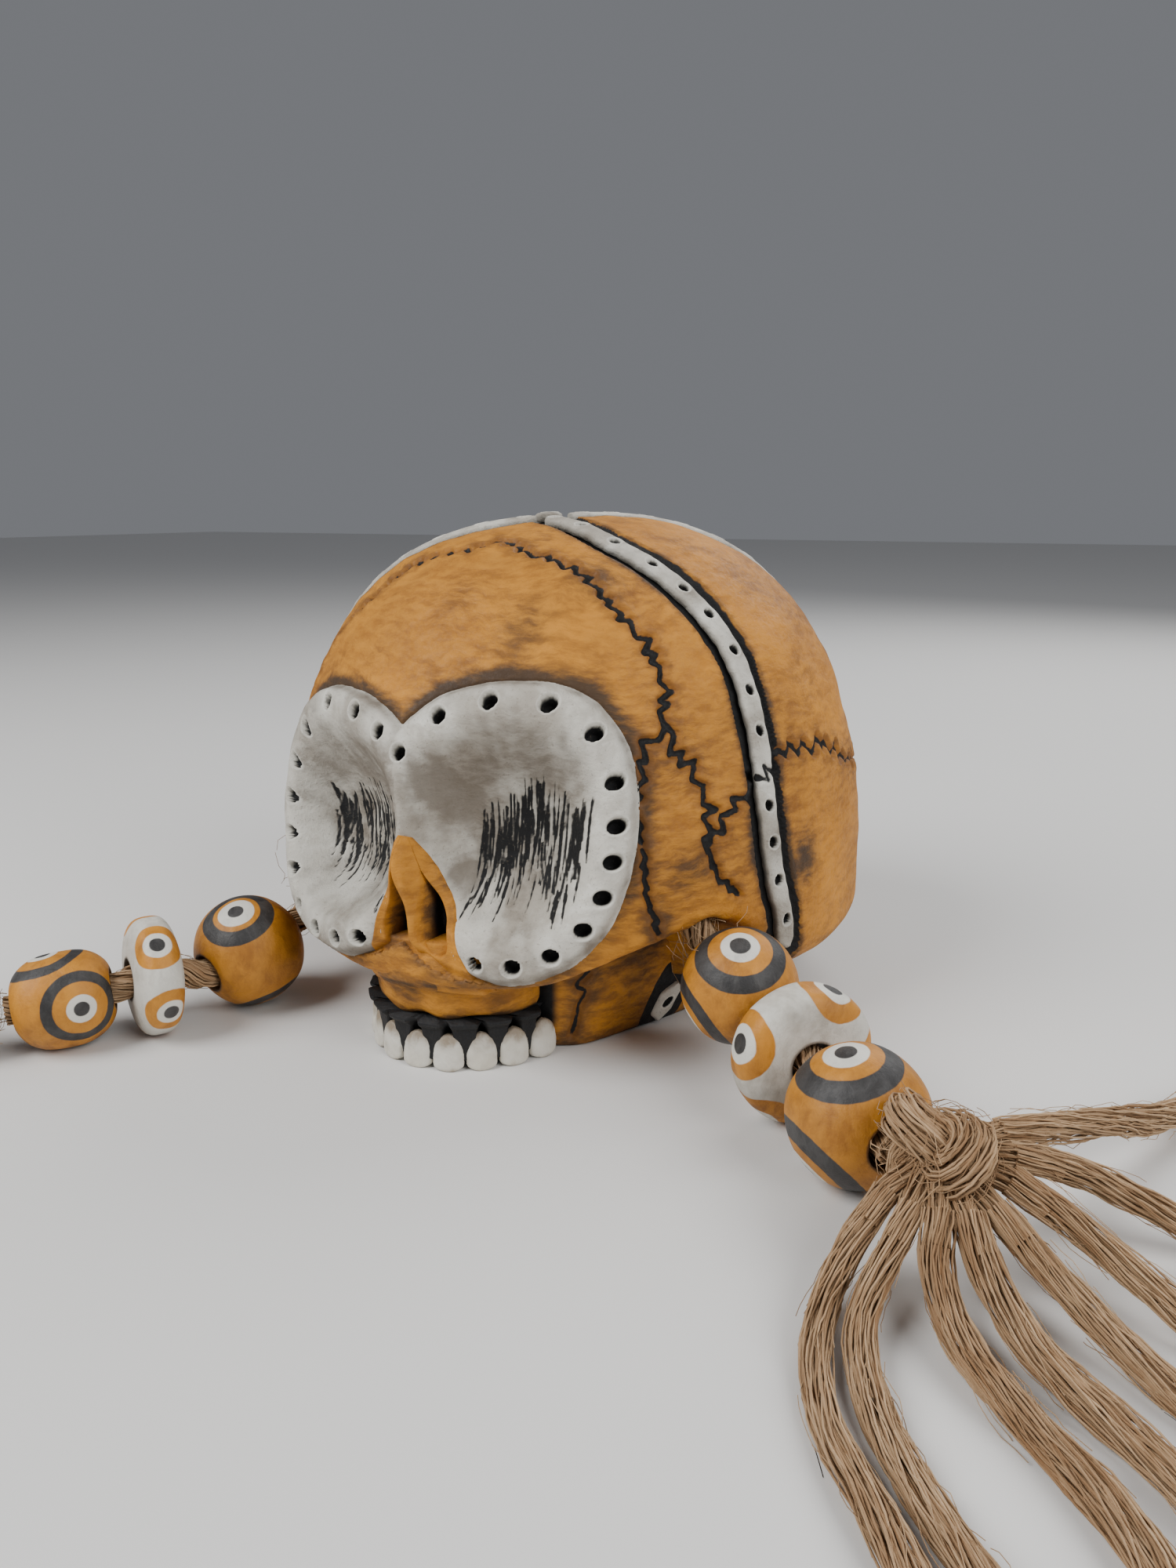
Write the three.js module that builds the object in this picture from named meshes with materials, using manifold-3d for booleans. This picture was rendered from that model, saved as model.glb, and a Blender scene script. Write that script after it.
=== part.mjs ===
// A hollow painted clay skull ornament, threaded on a bundle of jute twine.
// Three clay eye beads, a knot and a frayed tassel hang on the bundle at each side.
// Units are millimetres and +Z is up.  The face looks along -Y and the skull rests on z = 0.
import * as THREE from 'three';
import { mergeVertices } from 'three/addons/utils/BufferGeometryUtils.js';
import Module from 'manifold-3d';

const wasm = await Module();
wasm.setup();

// Driving dimensions
const gap = 0.3;               // space between pieces that touch
const wall = 5;                // fired clay wall
const facets = { around: 36, down: 18 };

const head = {
  midY: 17.3, midZ: 16.8,      // middle of the cranium's widest section
  halfWidth: 49.5, front: 54.2, back: 42.7, top: 63.3, below: 10.6,
  roundFront: 1.91, roundBack: 2.41, roundTop: 2.52, roundBelow: 2.81,
};

const faceX = -1.2;            // the face was set a little to the skull's right
const mask = {
  midX: 15.2, halfInner: 21, squareness: 2.3,
  right: { midZ: 36.8, halfOuter: 16.4, halfHeight: 21.3 },
  left: { midZ: 35.4, halfOuter: 17.2, halfHeight: 19.8 },
  rim: 2.2,                    // the rim stands this far proud of the cranium
  bowl: 10.5,                  // depth of the socket below the cranium's surface
  thickness: 3,
};

const band = {
  width: 3.4, proud: 0.5, depth: 1, grooveWidth: 7.4, grooveDepth: 1.3, steps: 16,
};

const nose = { midX: 1, midZ: 23.9, halfHeight: 11.9, bridge: 1.4, base: 11, ridge: 3, root: 3.2 };
const nostril = { x: 3, out: 3.4, z: 22.6, halfWidth: 1.7, depth: 3.2, halfHeight: 5.4, lean: 0.22 };

const gum = { bottom: 0.9, top: 7.2 };
const jaw = { midX: -0.4, bottom: 7.5, top: 20, flare: 0.28 };
const tooth = { halfWidth: 2.2, halfDepth: 1.1, halfHeight: 2.95, lift: 0.03 };

const cord = { diameter: 4.8, sides: 8, steps: 34 };
const boreRadius = 3.25;
const strandSteps = 11;

// Finishes
const finishes = {
  ochre: { color: 0xb06a1c, roughness: 0.72, metalness: 0 },
  boneWhite: { color: 0xc9c3b4, roughness: 0.7, metalness: 0 },
  charcoal: { color: 0x26231f, roughness: 0.75, metalness: 0 },
  toothWhite: { color: 0xcfc6b2, roughness: 0.6, metalness: 0 },
  jute: { color: 0xa88058, roughness: 0.95, metalness: 0 },
};

const ornament = new THREE.Group();

function place(parent, name, geometry, finish) {
  const mesh = new THREE.Mesh(geometry, new THREE.MeshStandardMaterial(finishes[finish]));
  mesh.name = name;
  parent.add(mesh);
  return mesh;
}

// Solids: a closed geometry becomes a manifold for joining and cutting, and goes back again
function solid(geometry) {
  geometry.deleteAttribute('normal');
  geometry.deleteAttribute('uv');
  const merged = mergeVertices(geometry);
  return new wasm.Manifold(new wasm.Mesh({
    numProp: 3,
    vertProperties: Float32Array.from(merged.attributes.position.array),
    triVerts: Uint32Array.from(merged.index.array),
  }));
}

function shell(body) {
  const mesh = body.getMesh();
  const geometry = new THREE.BufferGeometry();
  geometry.setAttribute('position', new THREE.BufferAttribute(mesh.vertProperties, 3));
  geometry.setIndex(new THREE.BufferAttribute(mesh.triVerts, 1));
  geometry.computeVertexNormals();
  return geometry;
}

// Moves every vertex of a geometry through a function of its place
function reshape(geometry, move) {
  const position = geometry.attributes.position;
  const point = new THREE.Vector3();
  for (let i = 0; i < position.count; i += 1) {
    point.fromBufferAttribute(position, i);
    move(point);
    position.setXYZ(i, point.x, point.y, point.z);
  }
  return geometry;
}

function ball(rx, ry, rz, around, down) {
  return new THREE.SphereGeometry(1, around, down).rotateX(Math.PI / 2).scale(rx, ry, rz);
}

// Cranium: a rounded block whose front, back, top and underside each have their own roundness
function headValue(x, y, z) {
  const front = y < 0;
  const level = front ? head.roundFront : head.roundBack;
  const rise = z > 0 ? head.roundTop : head.roundBelow;
  const depth = front ? head.front : head.back;
  const height = z > 0 ? head.top : head.below;
  const flat = (Math.abs(x / head.halfWidth) ** level + Math.abs(y / depth) ** level) ** (1 / level);
  return (flat ** rise + Math.abs(z / height) ** rise) ** (1 / rise);
}

function toHead(point, offset) {
  const away = new THREE.Vector3(point.x, point.y - head.midY, point.z - head.midZ);
  const reach = away.length() / headValue(away.x, away.y, away.z) + offset;
  away.setLength(reach);
  return point.set(away.x, away.y + head.midY, away.z + head.midZ);
}

function headSolid(offset) {
  const geometry = ball(1, 1, 1, facets.around, facets.down);
  reshape(geometry, (p) => toHead(p.set(p.x, p.y + head.midY, p.z + head.midZ), offset));
  return solid(geometry);
}

// Front of the cranium above a place on the face
function faceY(x, z) {
  const height = z > head.midZ ? head.top : head.below;
  const rise = z > head.midZ ? head.roundTop : head.roundBelow;
  const level = head.roundFront;
  const flat = (1 - Math.abs((z - head.midZ) / height) ** rise) ** (1 / rise);
  const left = Math.max(flat ** level - Math.abs(x / head.halfWidth) ** level, 0.01);
  return head.midY - head.front * left ** (1 / level);
}

// A side outline in Y and Z, stretched right across the skull
const across = 120;
function slab(outline) {
  const shape = new THREE.Shape(outline.map(([y, z]) => new THREE.Vector2(y, z)));
  const geometry = new THREE.ExtrudeGeometry(shape, { depth: across, bevelEnabled: false });
  const turn = new THREE.Matrix4().makeBasis(
    new THREE.Vector3(0, 1, 0),
    new THREE.Vector3(0, 0, 1),
    new THREE.Vector3(1, 0, 0),
  );
  return solid(geometry.applyMatrix4(turn).translate(-across / 2, 0, 0));
}

function shifted(outline, dy, dz) {
  return outline.map(([y, z]) => [y + dy, z + dz]);
}

// The two halves of the cranium meet under the side bands
const seam = [
  [-1.5, 0], [-1.5, 17], [-4, 28], [-4.8, 39], [-3.4, 50], [-1.9, 61], [-1.8, 70], [-0.5, 76],
  [3.5, 79], [5, 90],
];
// The cheekbones overhang the base
const underCheek = [
  [-70, -5], [-70, 4], [-31, 14.8], [-25, 18.4], [-18, 21.5], [-11, 22], [-5.5, 18], [-0.8, 13],
  [-0.8, -5],
];

// The hollow has its floor above the cheekbones in front, and lower behind them
const hollowSide = [[-70, 23.5], [0, 23.5], [7, 13], [90, 13], [90, 99], [-70, 99]];

// Eye sockets: a lathed dish, stretched to the socket's outline and laid on the face
function maskPoint(side, angle, ring, offset, grow) {
  const c = Math.cos(angle);
  const s = Math.sin(angle);
  const eye = side > 0 ? mask.right : mask.left;
  const halfWidth = (c > 0 ? eye.halfOuter : mask.halfInner) + grow;
  const halfHeight = eye.halfHeight + grow;
  const n = mask.squareness;
  const edge = (Math.abs(c / halfWidth) ** n + Math.abs(s / halfHeight) ** n) ** (-1 / n);
  const x = faceX + side * (mask.midX + edge * ring * c);
  const z = eye.midZ + edge * ring * s;
  return toHead(new THREE.Vector3(x, faceY(x, z), z), offset);
}

function dish(side, grow, front) {
  const back = grow + mask.thickness;
  const hollow = [[0, -mask.bowl], [0.28, 0.6 - mask.bowl], [0.5, 3.4 - mask.bowl], [0.64, -2.6], [0.7, 0.2]];
  const inner = front === undefined ? [...hollow, [0.76, mask.rim]] : [[0, front], [0.5, front]];
  const outer = front === undefined ? [[0.93, mask.rim], [1, 0.7]] : [[1, front]];
  const behind = [[1, -0.6 - grow], [0.72, -3 - back], [0.5, 2 - mask.bowl - back], [0, -mask.bowl - back]];
  const profile = [...inner, ...outer, ...behind].map(([r, h]) => new THREE.Vector2(r, h));
  const geometry = new THREE.LatheGeometry(profile, 24);
  reshape(geometry, (p) => {
    const ring = Math.hypot(p.x, p.z);
    const at = maskPoint(side, Math.atan2(p.z, p.x), ring, p.y, grow);
    p.copy(at);
  });
  return solid(side > 0 ? geometry : flipped(geometry));
}

// Mirrored geometry keeps its faces pointing out
function flipped(geometry) {
  const index = geometry.index;
  for (let i = 0; i < index.count; i += 3) {
    const first = index.getX(i);
    index.setX(i, index.getX(i + 2));
    index.setX(i + 2, first);
  }
  return geometry;
}

// The nose is a ridge on the face that widens downwards
function noseSolid(grow) {
  const geometry = ball(1, 1, 1, 16, 12);
  reshape(geometry, (p) => {
    const z = nose.midZ + p.z * (nose.halfHeight + grow);
    const down = (1 - p.z) / 2;
    const x = nose.midX + p.x * (nose.bridge + (nose.base - nose.bridge) * down + grow);
    const lift = p.y < 0 ? -p.y * (nose.ridge + grow) : -p.y * (nose.root + grow);
    toHead(p.set(x, faceY(x, z), z), lift);
  });
  return solid(geometry);
}

function noseGeometry() {
  let body = noseSolid(0);
  for (const side of [-1, 1]) {
    const pit = ball(nostril.halfWidth, nostril.depth, nostril.halfHeight, 10, 8);
    const x = nose.midX + side * nostril.x;
    pit.rotateY(-side * nostril.lean).translate(x, faceY(x, nostril.z) - nostril.out, nostril.z);
    body = body.subtract(solid(pit));
  }
  return shell(body);
}

function maskGeometry() {
  return shell(dish(1, 0).add(dish(-1, 0)).subtract(noseSolid(gap)));
}

// A smooth line through a route's places
function curve(route) {
  return new THREE.CatmullRomCurve3(route.map((p) => new THREE.Vector3(...p)), false, 'centripetal');
}

// A strip laid over the cranium along a line of places
function strip(route, width, low, high) {
  const line = curve(route);
  const geometry = new THREE.BoxGeometry(1, width, high - low, band.steps, 2, 1);
  reshape(geometry, (p) => {
    const t = THREE.MathUtils.clamp(p.x + 0.5, 0, 1);
    const on = line.getPointAt(t);
    const along = line.getTangentAt(t);
    const out = new THREE.Vector3(on.x, on.y - head.midY, on.z - head.midZ).normalize();
    const aside = new THREE.Vector3().crossVectors(out, along).normalize();
    const height = (low + high) / 2 + p.z;
    p.copy(toHead(on.addScaledVector(aside, p.y), height));
  });
  return geometry;
}

const sideRoute = [
  [1.2, 5, 80], [8, 2, 79], [16, -1.2, 76], [27, -1.9, 70], [35.6, -1.8, 61], [40.6, -3.4, 50],
  [43, -4.7, 39], [44.5, -4.1, 28], [45.6, -2.3, 21], [45.5, -1.5, 16],
];
const rearRoute = [
  [2.6, 10, 80], [4, 15, 80.3], [7, 20.5, 80], [12, 25, 79], [17.7, 28.5, 77.3], [22, 30.5, 75.6],
  [26, 33.5, 72.6], [30, 37.5, 67.5], [33.5, 41.5, 58], [35.5, 44, 46], [36, 45, 32], [35, 44.5, 16],
];
const mirrored = (route) => route.map(([x, y, z]) => [-x, y, z]);

const bandStrip = (route) => strip(route, band.width, -band.depth, band.proud);
const grooveCut = (route) => strip(route, band.grooveWidth, -band.grooveDepth, 4);
const crossing = (route) => [[-2, 5, 80], ...route.slice(1)];

// The jute bundle: from the middle of the hollow, out behind the cheekbone and through three beads
const rightRoute = [
  [0.2, -4, 33.5], [9, -4, 33.5], [18, -6.2, 32.4], [26, -10, 29.6], [32, -12, 26.2], [35.4, -13, 22],
  [37.2, -13.7, 19.2], [43.4, -15.7, 14.3], [49.4, -17.7, 9.6], [52, -20.1, 9.6], [55.2, -23.5, 9.9],
  [58.4, -26.8, 9.9], [60, -29.2, 9.4], [65.9, -35.1, 9], [71.9, -41, 9.1],
];
const leftRoute = [
  [-0.2, -4, 33.5], [-9, -4, 33.5], [-18, -6.2, 32.4], [-26, -10, 29.6], [-32.4, -11.8, 26],
  [-35.4, -11.8, 20.8], [-36.2, -13.2, 15.6], [-36.3, -16, 12.6], [-36.7, -19, 11.3], [-38.8, -27.4, 9.3],
  [-40.9, -36, 7.5], [-42.4, -39.2, 8.9], [-44.4, -42.9, 9.4], [-46.4, -46, 9], [-48, -47.3, 8.3],
  [-53.1, -52.7, 7.5], [-58.6, -58.8, 6.7],
];

function rope(route, diameter, sides, steps) {
  const section = new THREE.Shape();
  section.absarc(0, 0, diameter / 2, 0, Math.PI * 2, false);
  const options = { steps, curveSegments: sides / 2, bevelEnabled: false, extrudePath: curve(route) };
  return new THREE.ExtrudeGeometry(section, options);
}

// Beads: lathed about the bore, then turned to lie along the bundle
const beadSizes = {
  ball_bead_right_inner: { radius: 8.5, half: 8.2, n: 2.1 },
  disc_bead_right: { radius: 9.8, half: 3.9, n: 3.2 },
  ball_bead_right_outer: { radius: 8.9, half: 8.3, n: 2.1 },
  ball_bead_left_inner: { radius: 9.1, half: 8.6, n: 2.1 },
  disc_bead_left: { radius: 9.3, half: 3.7, n: 3.2 },
  barrel_bead_left: { radius: 7.4, half: 7.6, n: 2.6 },
};
const beadPlaces = [
  { name: 'ball_bead_right_inner', at: [43.4, -15.7, 14.3], along: [0.76, -0.25, -0.6] },
  { name: 'disc_bead_right', at: [55.2, -23.5, 9.9], along: [0.69, -0.72, -0.04] },
  { name: 'ball_bead_right_outer', at: [65.9, -35.1, 9], along: [0.71, -0.7, 0] },
  { name: 'ball_bead_left_inner', at: [-38.8, -27.4, 9.3], along: [-0.23, -0.94, -0.22] },
  { name: 'disc_bead_left', at: [-44.4, -42.9, 9.4], along: [-0.5, -0.86, 0.03] },
  { name: 'barrel_bead_left', at: [-53.1, -52.7, 7.5], along: [-0.67, -0.73, -0.1] },
];

function beadGeometry({ radius, half, n }) {
  const profile = [];
  const start = Math.asin(Math.min(boreRadius / radius, 1));
  const arcs = 8;
  for (let i = 0; i <= arcs; i += 1) {
    const angle = start + (Math.PI - 2 * start) * (i / arcs);
    const reach = (Math.sin(angle) ** n + Math.abs(Math.cos(angle)) ** n) ** (-1 / n);
    profile.push(new THREE.Vector2(radius * reach * Math.sin(angle), -half * reach * Math.cos(angle)));
  }
  profile[0].x = boreRadius;
  profile[arcs].x = boreRadius;
  profile.push(profile[0].clone());
  return new THREE.LatheGeometry(profile, 18);
}

function addBead({ name, at, along }) {
  const color = name.startsWith('disc') ? 'boneWhite' : 'ochre';
  const mesh = place(ornament, name, beadGeometry(beadSizes[name]), color);
  mesh.quaternion.setFromUnitVectors(new THREE.Vector3(0, 1, 0), new THREE.Vector3(...along).normalize());
  mesh.position.set(...at);
}

// Knots and tassels
const knots = {
  right: { at: [77, -45.3, 12.6], size: [6.6, 5.4, 5.4] },
  left: { at: [-63.6, -64.2, 6.6], size: [5.8, 5.6, 5.6] },
};
const strands = {
  right: [
    {
      diameter: 2.2,
      route: [
        [73, -50.5, 9.4], [71, -55.1, 6.1], [69.8, -61.5, 2.9], [71.2, -70, 1.4],
        [75, -78, 1.4], [81, -85, 1.4], [87, -93, 1.4],
      ],
    },
    {
      diameter: 2.2,
      route: [
        [76, -51.7, 9], [74.8, -57.1, 5.7], [74.2, -64.5, 2.9], [77.6, -73, 1.4],
        [83.5, -81, 1.4], [91, -89, 1.4], [98, -98, 1.4],
      ],
    },
    {
      diameter: 2.6,
      route: [
        [78.8, -51.7, 9.2], [79.8, -56.6, 5.9], [83.4, -62.5, 3], [90.5, -69, 1.6],
        [98, -76, 1.6], [104, -85, 1.6], [108, -95, 1.6],
      ],
    },
    {
      diameter: 2.6,
      route: [
        [81.6, -51.1, 9.2], [84.8, -55.7, 5.9], [89.9, -60.7, 3], [98, -66.2, 1.6],
        [106, -73, 1.6], [113, -81, 1.6], [118, -90, 1.6],
      ],
    },
    {
      diameter: 2.4,
      route: [
        [84, -49.1, 9.8], [88.8, -51.5, 6.7], [95.9, -55.1, 3.4], [104, -60.6, 1.5],
        [112, -66, 1.5], [121, -71, 1.5],
      ],
    },
    {
      diameter: 2.4,
      route: [
        [84.8, -45.7, 11.4], [90.8, -45.5, 8.5], [98.4, -47.1, 4.6], [107, -50.6, 1.8],
        [116, -54.6, 1.5], [126, -58, 1.5],
      ],
    },
    {
      diameter: 2.4,
      route: [
        [84.4, -42.5, 12.4], [90.8, -38.1, 10.1], [98.4, -34.9, 6.4], [107, -33.6, 2.6],
        [116, -34.6, 1.5], [126, -37, 1.5],
      ],
    },
    {
      diameter: 2.6,
      route: [
        [82.6, -40.1, 13.2], [87.4, -33.1, 11.7], [92.4, -23.9, 9], [97.4, -13, 5.4],
        [102, -2.4, 2.8], [107, 8, 1.6], [112, 18, 1.6],
      ],
    },
  ],
  left: [
    {
      diameter: 2.4,
      route: [
        [-65.2, -71, 5.4], [-66.4, -78, 2.8], [-67, -88, 1.5], [-65, -98, 1.5],
        [-61, -108, 1.5], [-58, -118, 1.5],
      ],
    },
    {
      diameter: 2.4,
      route: [
        [-67.8, -70, 5.6], [-72, -77, 2.8], [-76.6, -86, 1.5], [-79, -96, 1.5],
        [-78, -107, 1.5], [-75, -117, 1.5],
      ],
    },
    {
      diameter: 2.6,
      route: [
        [-70, -67.8, 5.6], [-77, -74, 2.8], [-84.6, -82, 1.6], [-91, -91, 1.6],
        [-95, -101, 1.6], [-97, -111, 1.6],
      ],
    },
    {
      diameter: 2.4,
      route: [
        [-70.8, -64.6, 5.6], [-78.6, -67, 2.8], [-88, -71.4, 1.5], [-97, -78, 1.5],
        [-105, -86, 1.5], [-112, -94, 1.5],
      ],
    },
    {
      diameter: 2.4,
      route: [
        [-70.4, -61.4, 5.6], [-78, -60.2, 2.8], [-88, -60.8, 1.5], [-98, -64, 1.5],
        [-107, -69, 1.5], [-116, -75, 1.5],
      ],
    },
  ],
};

// Assembly of the cranium, face and base
function addCranium() {
  const outer = headSolid(0);
  const hollow = headSolid(-wall).intersect(slab(hollowSide));
  const slotCut = (route) => solid(rope(route, cord.diameter + 2.4, cord.sides, cord.steps));
  const slots = [rightRoute, leftRoute].map(slotCut);
  const across = crossing(sideRoute);
  const lines = [across, mirrored(across), rearRoute, mirrored(rearRoute)];
  const grooves = lines.map((route) => solid(grooveCut(route)));
  const sockets = [dish(1, gap, 8), dish(-1, gap, 8), noseSolid(gap)];
  let body = outer.subtract(hollow).subtract(slab(underCheek));
  for (const cutter of [...slots, ...grooves, ...sockets]) body = body.subtract(cutter);
  const ahead = (push) => slab([[-90, -5], ...shifted(seam, push, 0), [-90, 90]]);
  place(ornament, 'face_shell', shell(body.intersect(ahead(-gap / 2))), 'ochre');
  place(ornament, 'back_shell', shell(body.subtract(ahead(gap / 2))), 'ochre');
}

function addBands() {
  for (const [kind, route] of [['side_band', sideRoute], ['rear_band', rearRoute]]) {
    place(ornament, `${kind}_right`, bandStrip(route), 'boneWhite');
    place(ornament, `${kind}_left`, bandStrip(mirrored(route)), 'boneWhite');
  }
}

// Plan outlines of the base and the jaw, extruded upwards
function upright(half, low, high) {
  const right = half.map(([x, y]) => new THREE.Vector2(x, y));
  const left = half.slice().reverse().filter(([x]) => x > 0).map(([x, y]) => new THREE.Vector2(-x, y));
  const shape = new THREE.Shape([...right, ...left]);
  return new THREE.ExtrudeGeometry(shape, { depth: high - low, bevelEnabled: false }).translate(0, 0, low);
}

const basePlan = [
  [14.5, -20], [18.8, -17.3], [23, -9.5], [27, -1], [30.5, 10], [30.5, 24], [24, 36], [12, 42], [0, 43.5],
];
const archPlan = [[0, -33.8], [4.8, -33], [9, -30.4], [12.6, -26.6], [14.8, -22.4]];
const jawPlan = [[0, -32.3], [4.4, -31.5], [8.2, -29.1], [11.3, -25.4], [13, -21.8], [13.1, -20.4]];

// The room that the cranium needs, for what fits beneath it
function clearOfHead() {
  return headSolid(gap).subtract(slab(shifted(underCheek, -gap, -gap)));
}

function addBase() {
  const body = solid(upright(basePlan, 0, 24)).subtract(clearOfHead());
  place(ornament, 'skull_base', shell(body), 'ochre');
}

function addJaw() {
  const flared = upright(jawPlan, jaw.bottom, jaw.top);
  reshape(flared, (p) => {
    const out = p.y < jawPlan[4][1] ? 1 : 0;
    p.y -= out * jaw.flare * (p.z - jaw.bottom);
  });
  let body = solid(flared.translate(jaw.midX, 0, 0)).subtract(clearOfHead());
  for (const cutter of [dish(1, gap, 8), dish(-1, gap, 8), noseSolid(gap)]) body = body.subtract(cutter);
  place(ornament, 'upper_jaw', shell(body), 'ochre');
  place(ornament, 'gum_ridge', upright(jawPlan, gum.bottom, gum.top).translate(jaw.midX, 0, 0), 'charcoal');
}

function addTeeth() {
  const arch = curve(archPlan.map(([x, y]) => [x, y, 0]));
  const sideCount = 4;
  for (let i = -sideCount; i <= sideCount; i += 1) {
    const side = Math.sign(i) || 1;
    const at = arch.getPointAt(Math.abs(i) / sideCount);
    const along = arch.getTangentAt(Math.abs(i) / sideCount);
    const geometry = ball(tooth.halfWidth, tooth.halfDepth, tooth.halfHeight, 8, 6);
    reshape(geometry, (p) => {
      p.x *= 1 - 0.12 * (p.z / tooth.halfHeight);
    });
    const mesh = place(ornament, `tooth_${i + sideCount + 1}`, geometry, 'toothWhite');
    mesh.rotation.z = side * Math.atan2(along.y, along.x);
    mesh.position.set(jaw.midX + side * at.x, at.y, tooth.halfHeight + tooth.lift);
  }
}

function addCords() {
  place(ornament, 'jute_bundle_right', rope(rightRoute, cord.diameter, cord.sides, cord.steps), 'jute');
  place(ornament, 'jute_bundle_left', rope(leftRoute, cord.diameter, cord.sides, cord.steps), 'jute');
  for (const [side, { at, size }] of Object.entries(knots)) {
    place(ornament, `knot_${side}`, ball(...size, 12, 8), 'jute').position.set(...at);
    strands[side].forEach(({ diameter, route }, i) => {
      place(ornament, `tassel_${side}_${i + 1}`, rope(route, diameter, cord.sides, strandSteps), 'jute');
    });
  }
}

addCranium();
addBands();
place(ornament, 'eye_socket_mask', maskGeometry(), 'boneWhite');
place(ornament, 'nose', noseGeometry(), 'ochre');
addBase();
addJaw();
addTeeth();
beadPlaces.forEach(addBead);
addCords();

export default ornament;
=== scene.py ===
import math
import bmesh
import bpy
import numpy as np
from mathutils.kdtree import KDTree
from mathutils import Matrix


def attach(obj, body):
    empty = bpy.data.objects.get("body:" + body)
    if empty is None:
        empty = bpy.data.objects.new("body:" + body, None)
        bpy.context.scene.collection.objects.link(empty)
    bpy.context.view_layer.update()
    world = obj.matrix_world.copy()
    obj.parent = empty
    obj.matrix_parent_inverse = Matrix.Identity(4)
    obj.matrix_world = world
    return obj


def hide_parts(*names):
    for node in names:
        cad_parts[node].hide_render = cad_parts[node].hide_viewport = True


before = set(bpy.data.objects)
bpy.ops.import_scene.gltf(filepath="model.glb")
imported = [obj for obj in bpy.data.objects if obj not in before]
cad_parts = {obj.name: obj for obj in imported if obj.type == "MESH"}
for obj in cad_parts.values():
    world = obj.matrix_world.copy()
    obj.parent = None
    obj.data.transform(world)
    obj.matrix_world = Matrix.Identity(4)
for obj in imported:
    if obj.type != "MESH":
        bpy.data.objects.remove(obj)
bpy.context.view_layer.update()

metre = 0.001


# camera, floor and light
cameraSetup = {"place": (0.096, -0.167, 0.082), "lens": 27.07, "tiltDown": 13.4, "turn": 27}
lightSetup = [
    {"name": "keyLight", "place": (-0.30, -0.42, 0.48), "size": 0.45, "power": 4.6},
    {"name": "sideLight", "place": (0.50, -0.16, 0.36), "size": 0.40, "power": 2.4},
    {"name": "backLight", "place": (0.15, 0.50, 0.45), "size": 0.50, "power": 2.4},
]
floorSetup = {"halfSize": 2.5, "color": (0.74, 0.73, 0.71, 1), "worldStrength": 0.2}


def addCamera():
    data = bpy.data.cameras.new("camera")
    data.lens = cameraSetup["lens"]
    data.clip_start = 0.005
    camera = bpy.data.objects.new("camera", data)
    camera.location = cameraSetup["place"]
    turn = math.radians(cameraSetup["turn"])
    camera.rotation_euler = (math.radians(90 - cameraSetup["tiltDown"]), 0, turn)
    bpy.context.scene.collection.objects.link(camera)
    bpy.context.scene.camera = camera


def addLights():
    aim = np.array([0, 0, 0.03])
    for setup in lightSetup:
        data = bpy.data.lights.new(setup["name"], "AREA")
        data.shape = "DISK"
        data.size = setup["size"]
        data.energy = setup["power"]
        light = bpy.data.objects.new(setup["name"], data)
        light.location = setup["place"]
        away = light.location - light.location.__class__(aim)
        light.rotation_euler = away.to_track_quat("Z", "Y").to_euler()
        bpy.context.scene.collection.objects.link(light)
    world = bpy.data.worlds.new("studio")
    world.use_nodes = True
    world.node_tree.nodes["Background"].inputs["Color"].default_value = (0.9, 0.93, 1, 1)
    world.node_tree.nodes["Background"].inputs["Strength"].default_value = floorSetup["worldStrength"]
    bpy.context.scene.world = world


def addFloor():
    half = floorSetup["halfSize"]
    mesh = bpy.data.meshes.new("floor")
    corners = [(-half, -half, 0), (half, -half, 0), (half, half, 0), (-half, half, 0)]
    mesh.from_pydata(corners, [], [(0, 1, 2, 3)])
    material = bpy.data.materials.new("paleFloor")
    material.use_nodes = True
    material.node_tree.nodes["Principled BSDF"].inputs["Base Color"].default_value = floorSetup["color"]
    material.node_tree.nodes["Principled BSDF"].inputs["Roughness"].default_value = 0.8
    mesh.materials.append(material)
    floor = bpy.data.objects.new("floor", mesh)
    bpy.context.scene.collection.objects.link(floor)


addCamera()
addLights()
addFloor()


# node helpers
def put(tree, kind, inputs=None, **settings):
    node = tree.nodes.new(kind)
    for key, value in settings.items():
        setattr(node, key, value)
    for key, value in (inputs or {}).items():
        if isinstance(value, bpy.types.NodeSocket):
            tree.links.new(value, node.inputs[key])
        else:
            node.inputs[key].default_value = value
    return node


def maths(tree, operation, *values):
    return put(tree, "ShaderNodeMath", dict(enumerate(values)), operation=operation).outputs[0]


def ramp(tree, value, low, high, start=0.0, end=1.0):
    steps = {"Value": value, "From Min": low, "From Max": high, "To Min": start, "To Max": end}
    return put(tree, "ShaderNodeMapRange", steps, interpolation_type="SMOOTHSTEP").outputs[0]


def tint(tree, amount, first, second, mode="MIX"):
    node = put(tree, "ShaderNodeMix", {0: amount, 6: first, 7: second}, data_type="RGBA", blend_type=mode)
    return node.outputs[2]


def attribute(tree, name):
    return put(tree, "ShaderNodeAttribute", attribute_name=name).outputs["Fac"]


def newGroup(name, kind, inputs, outputs):
    tree = bpy.data.node_groups.new(name, kind)
    for label, socket, value in inputs:
        made = tree.interface.new_socket(label, in_out="INPUT", socket_type=socket)
        if value is not None:
            made.default_value = value
    for label, socket in outputs:
        tree.interface.new_socket(label, in_out="OUTPUT", socket_type=socket)
    return tree, put(tree, "NodeGroupInput"), put(tree, "NodeGroupOutput")


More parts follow.
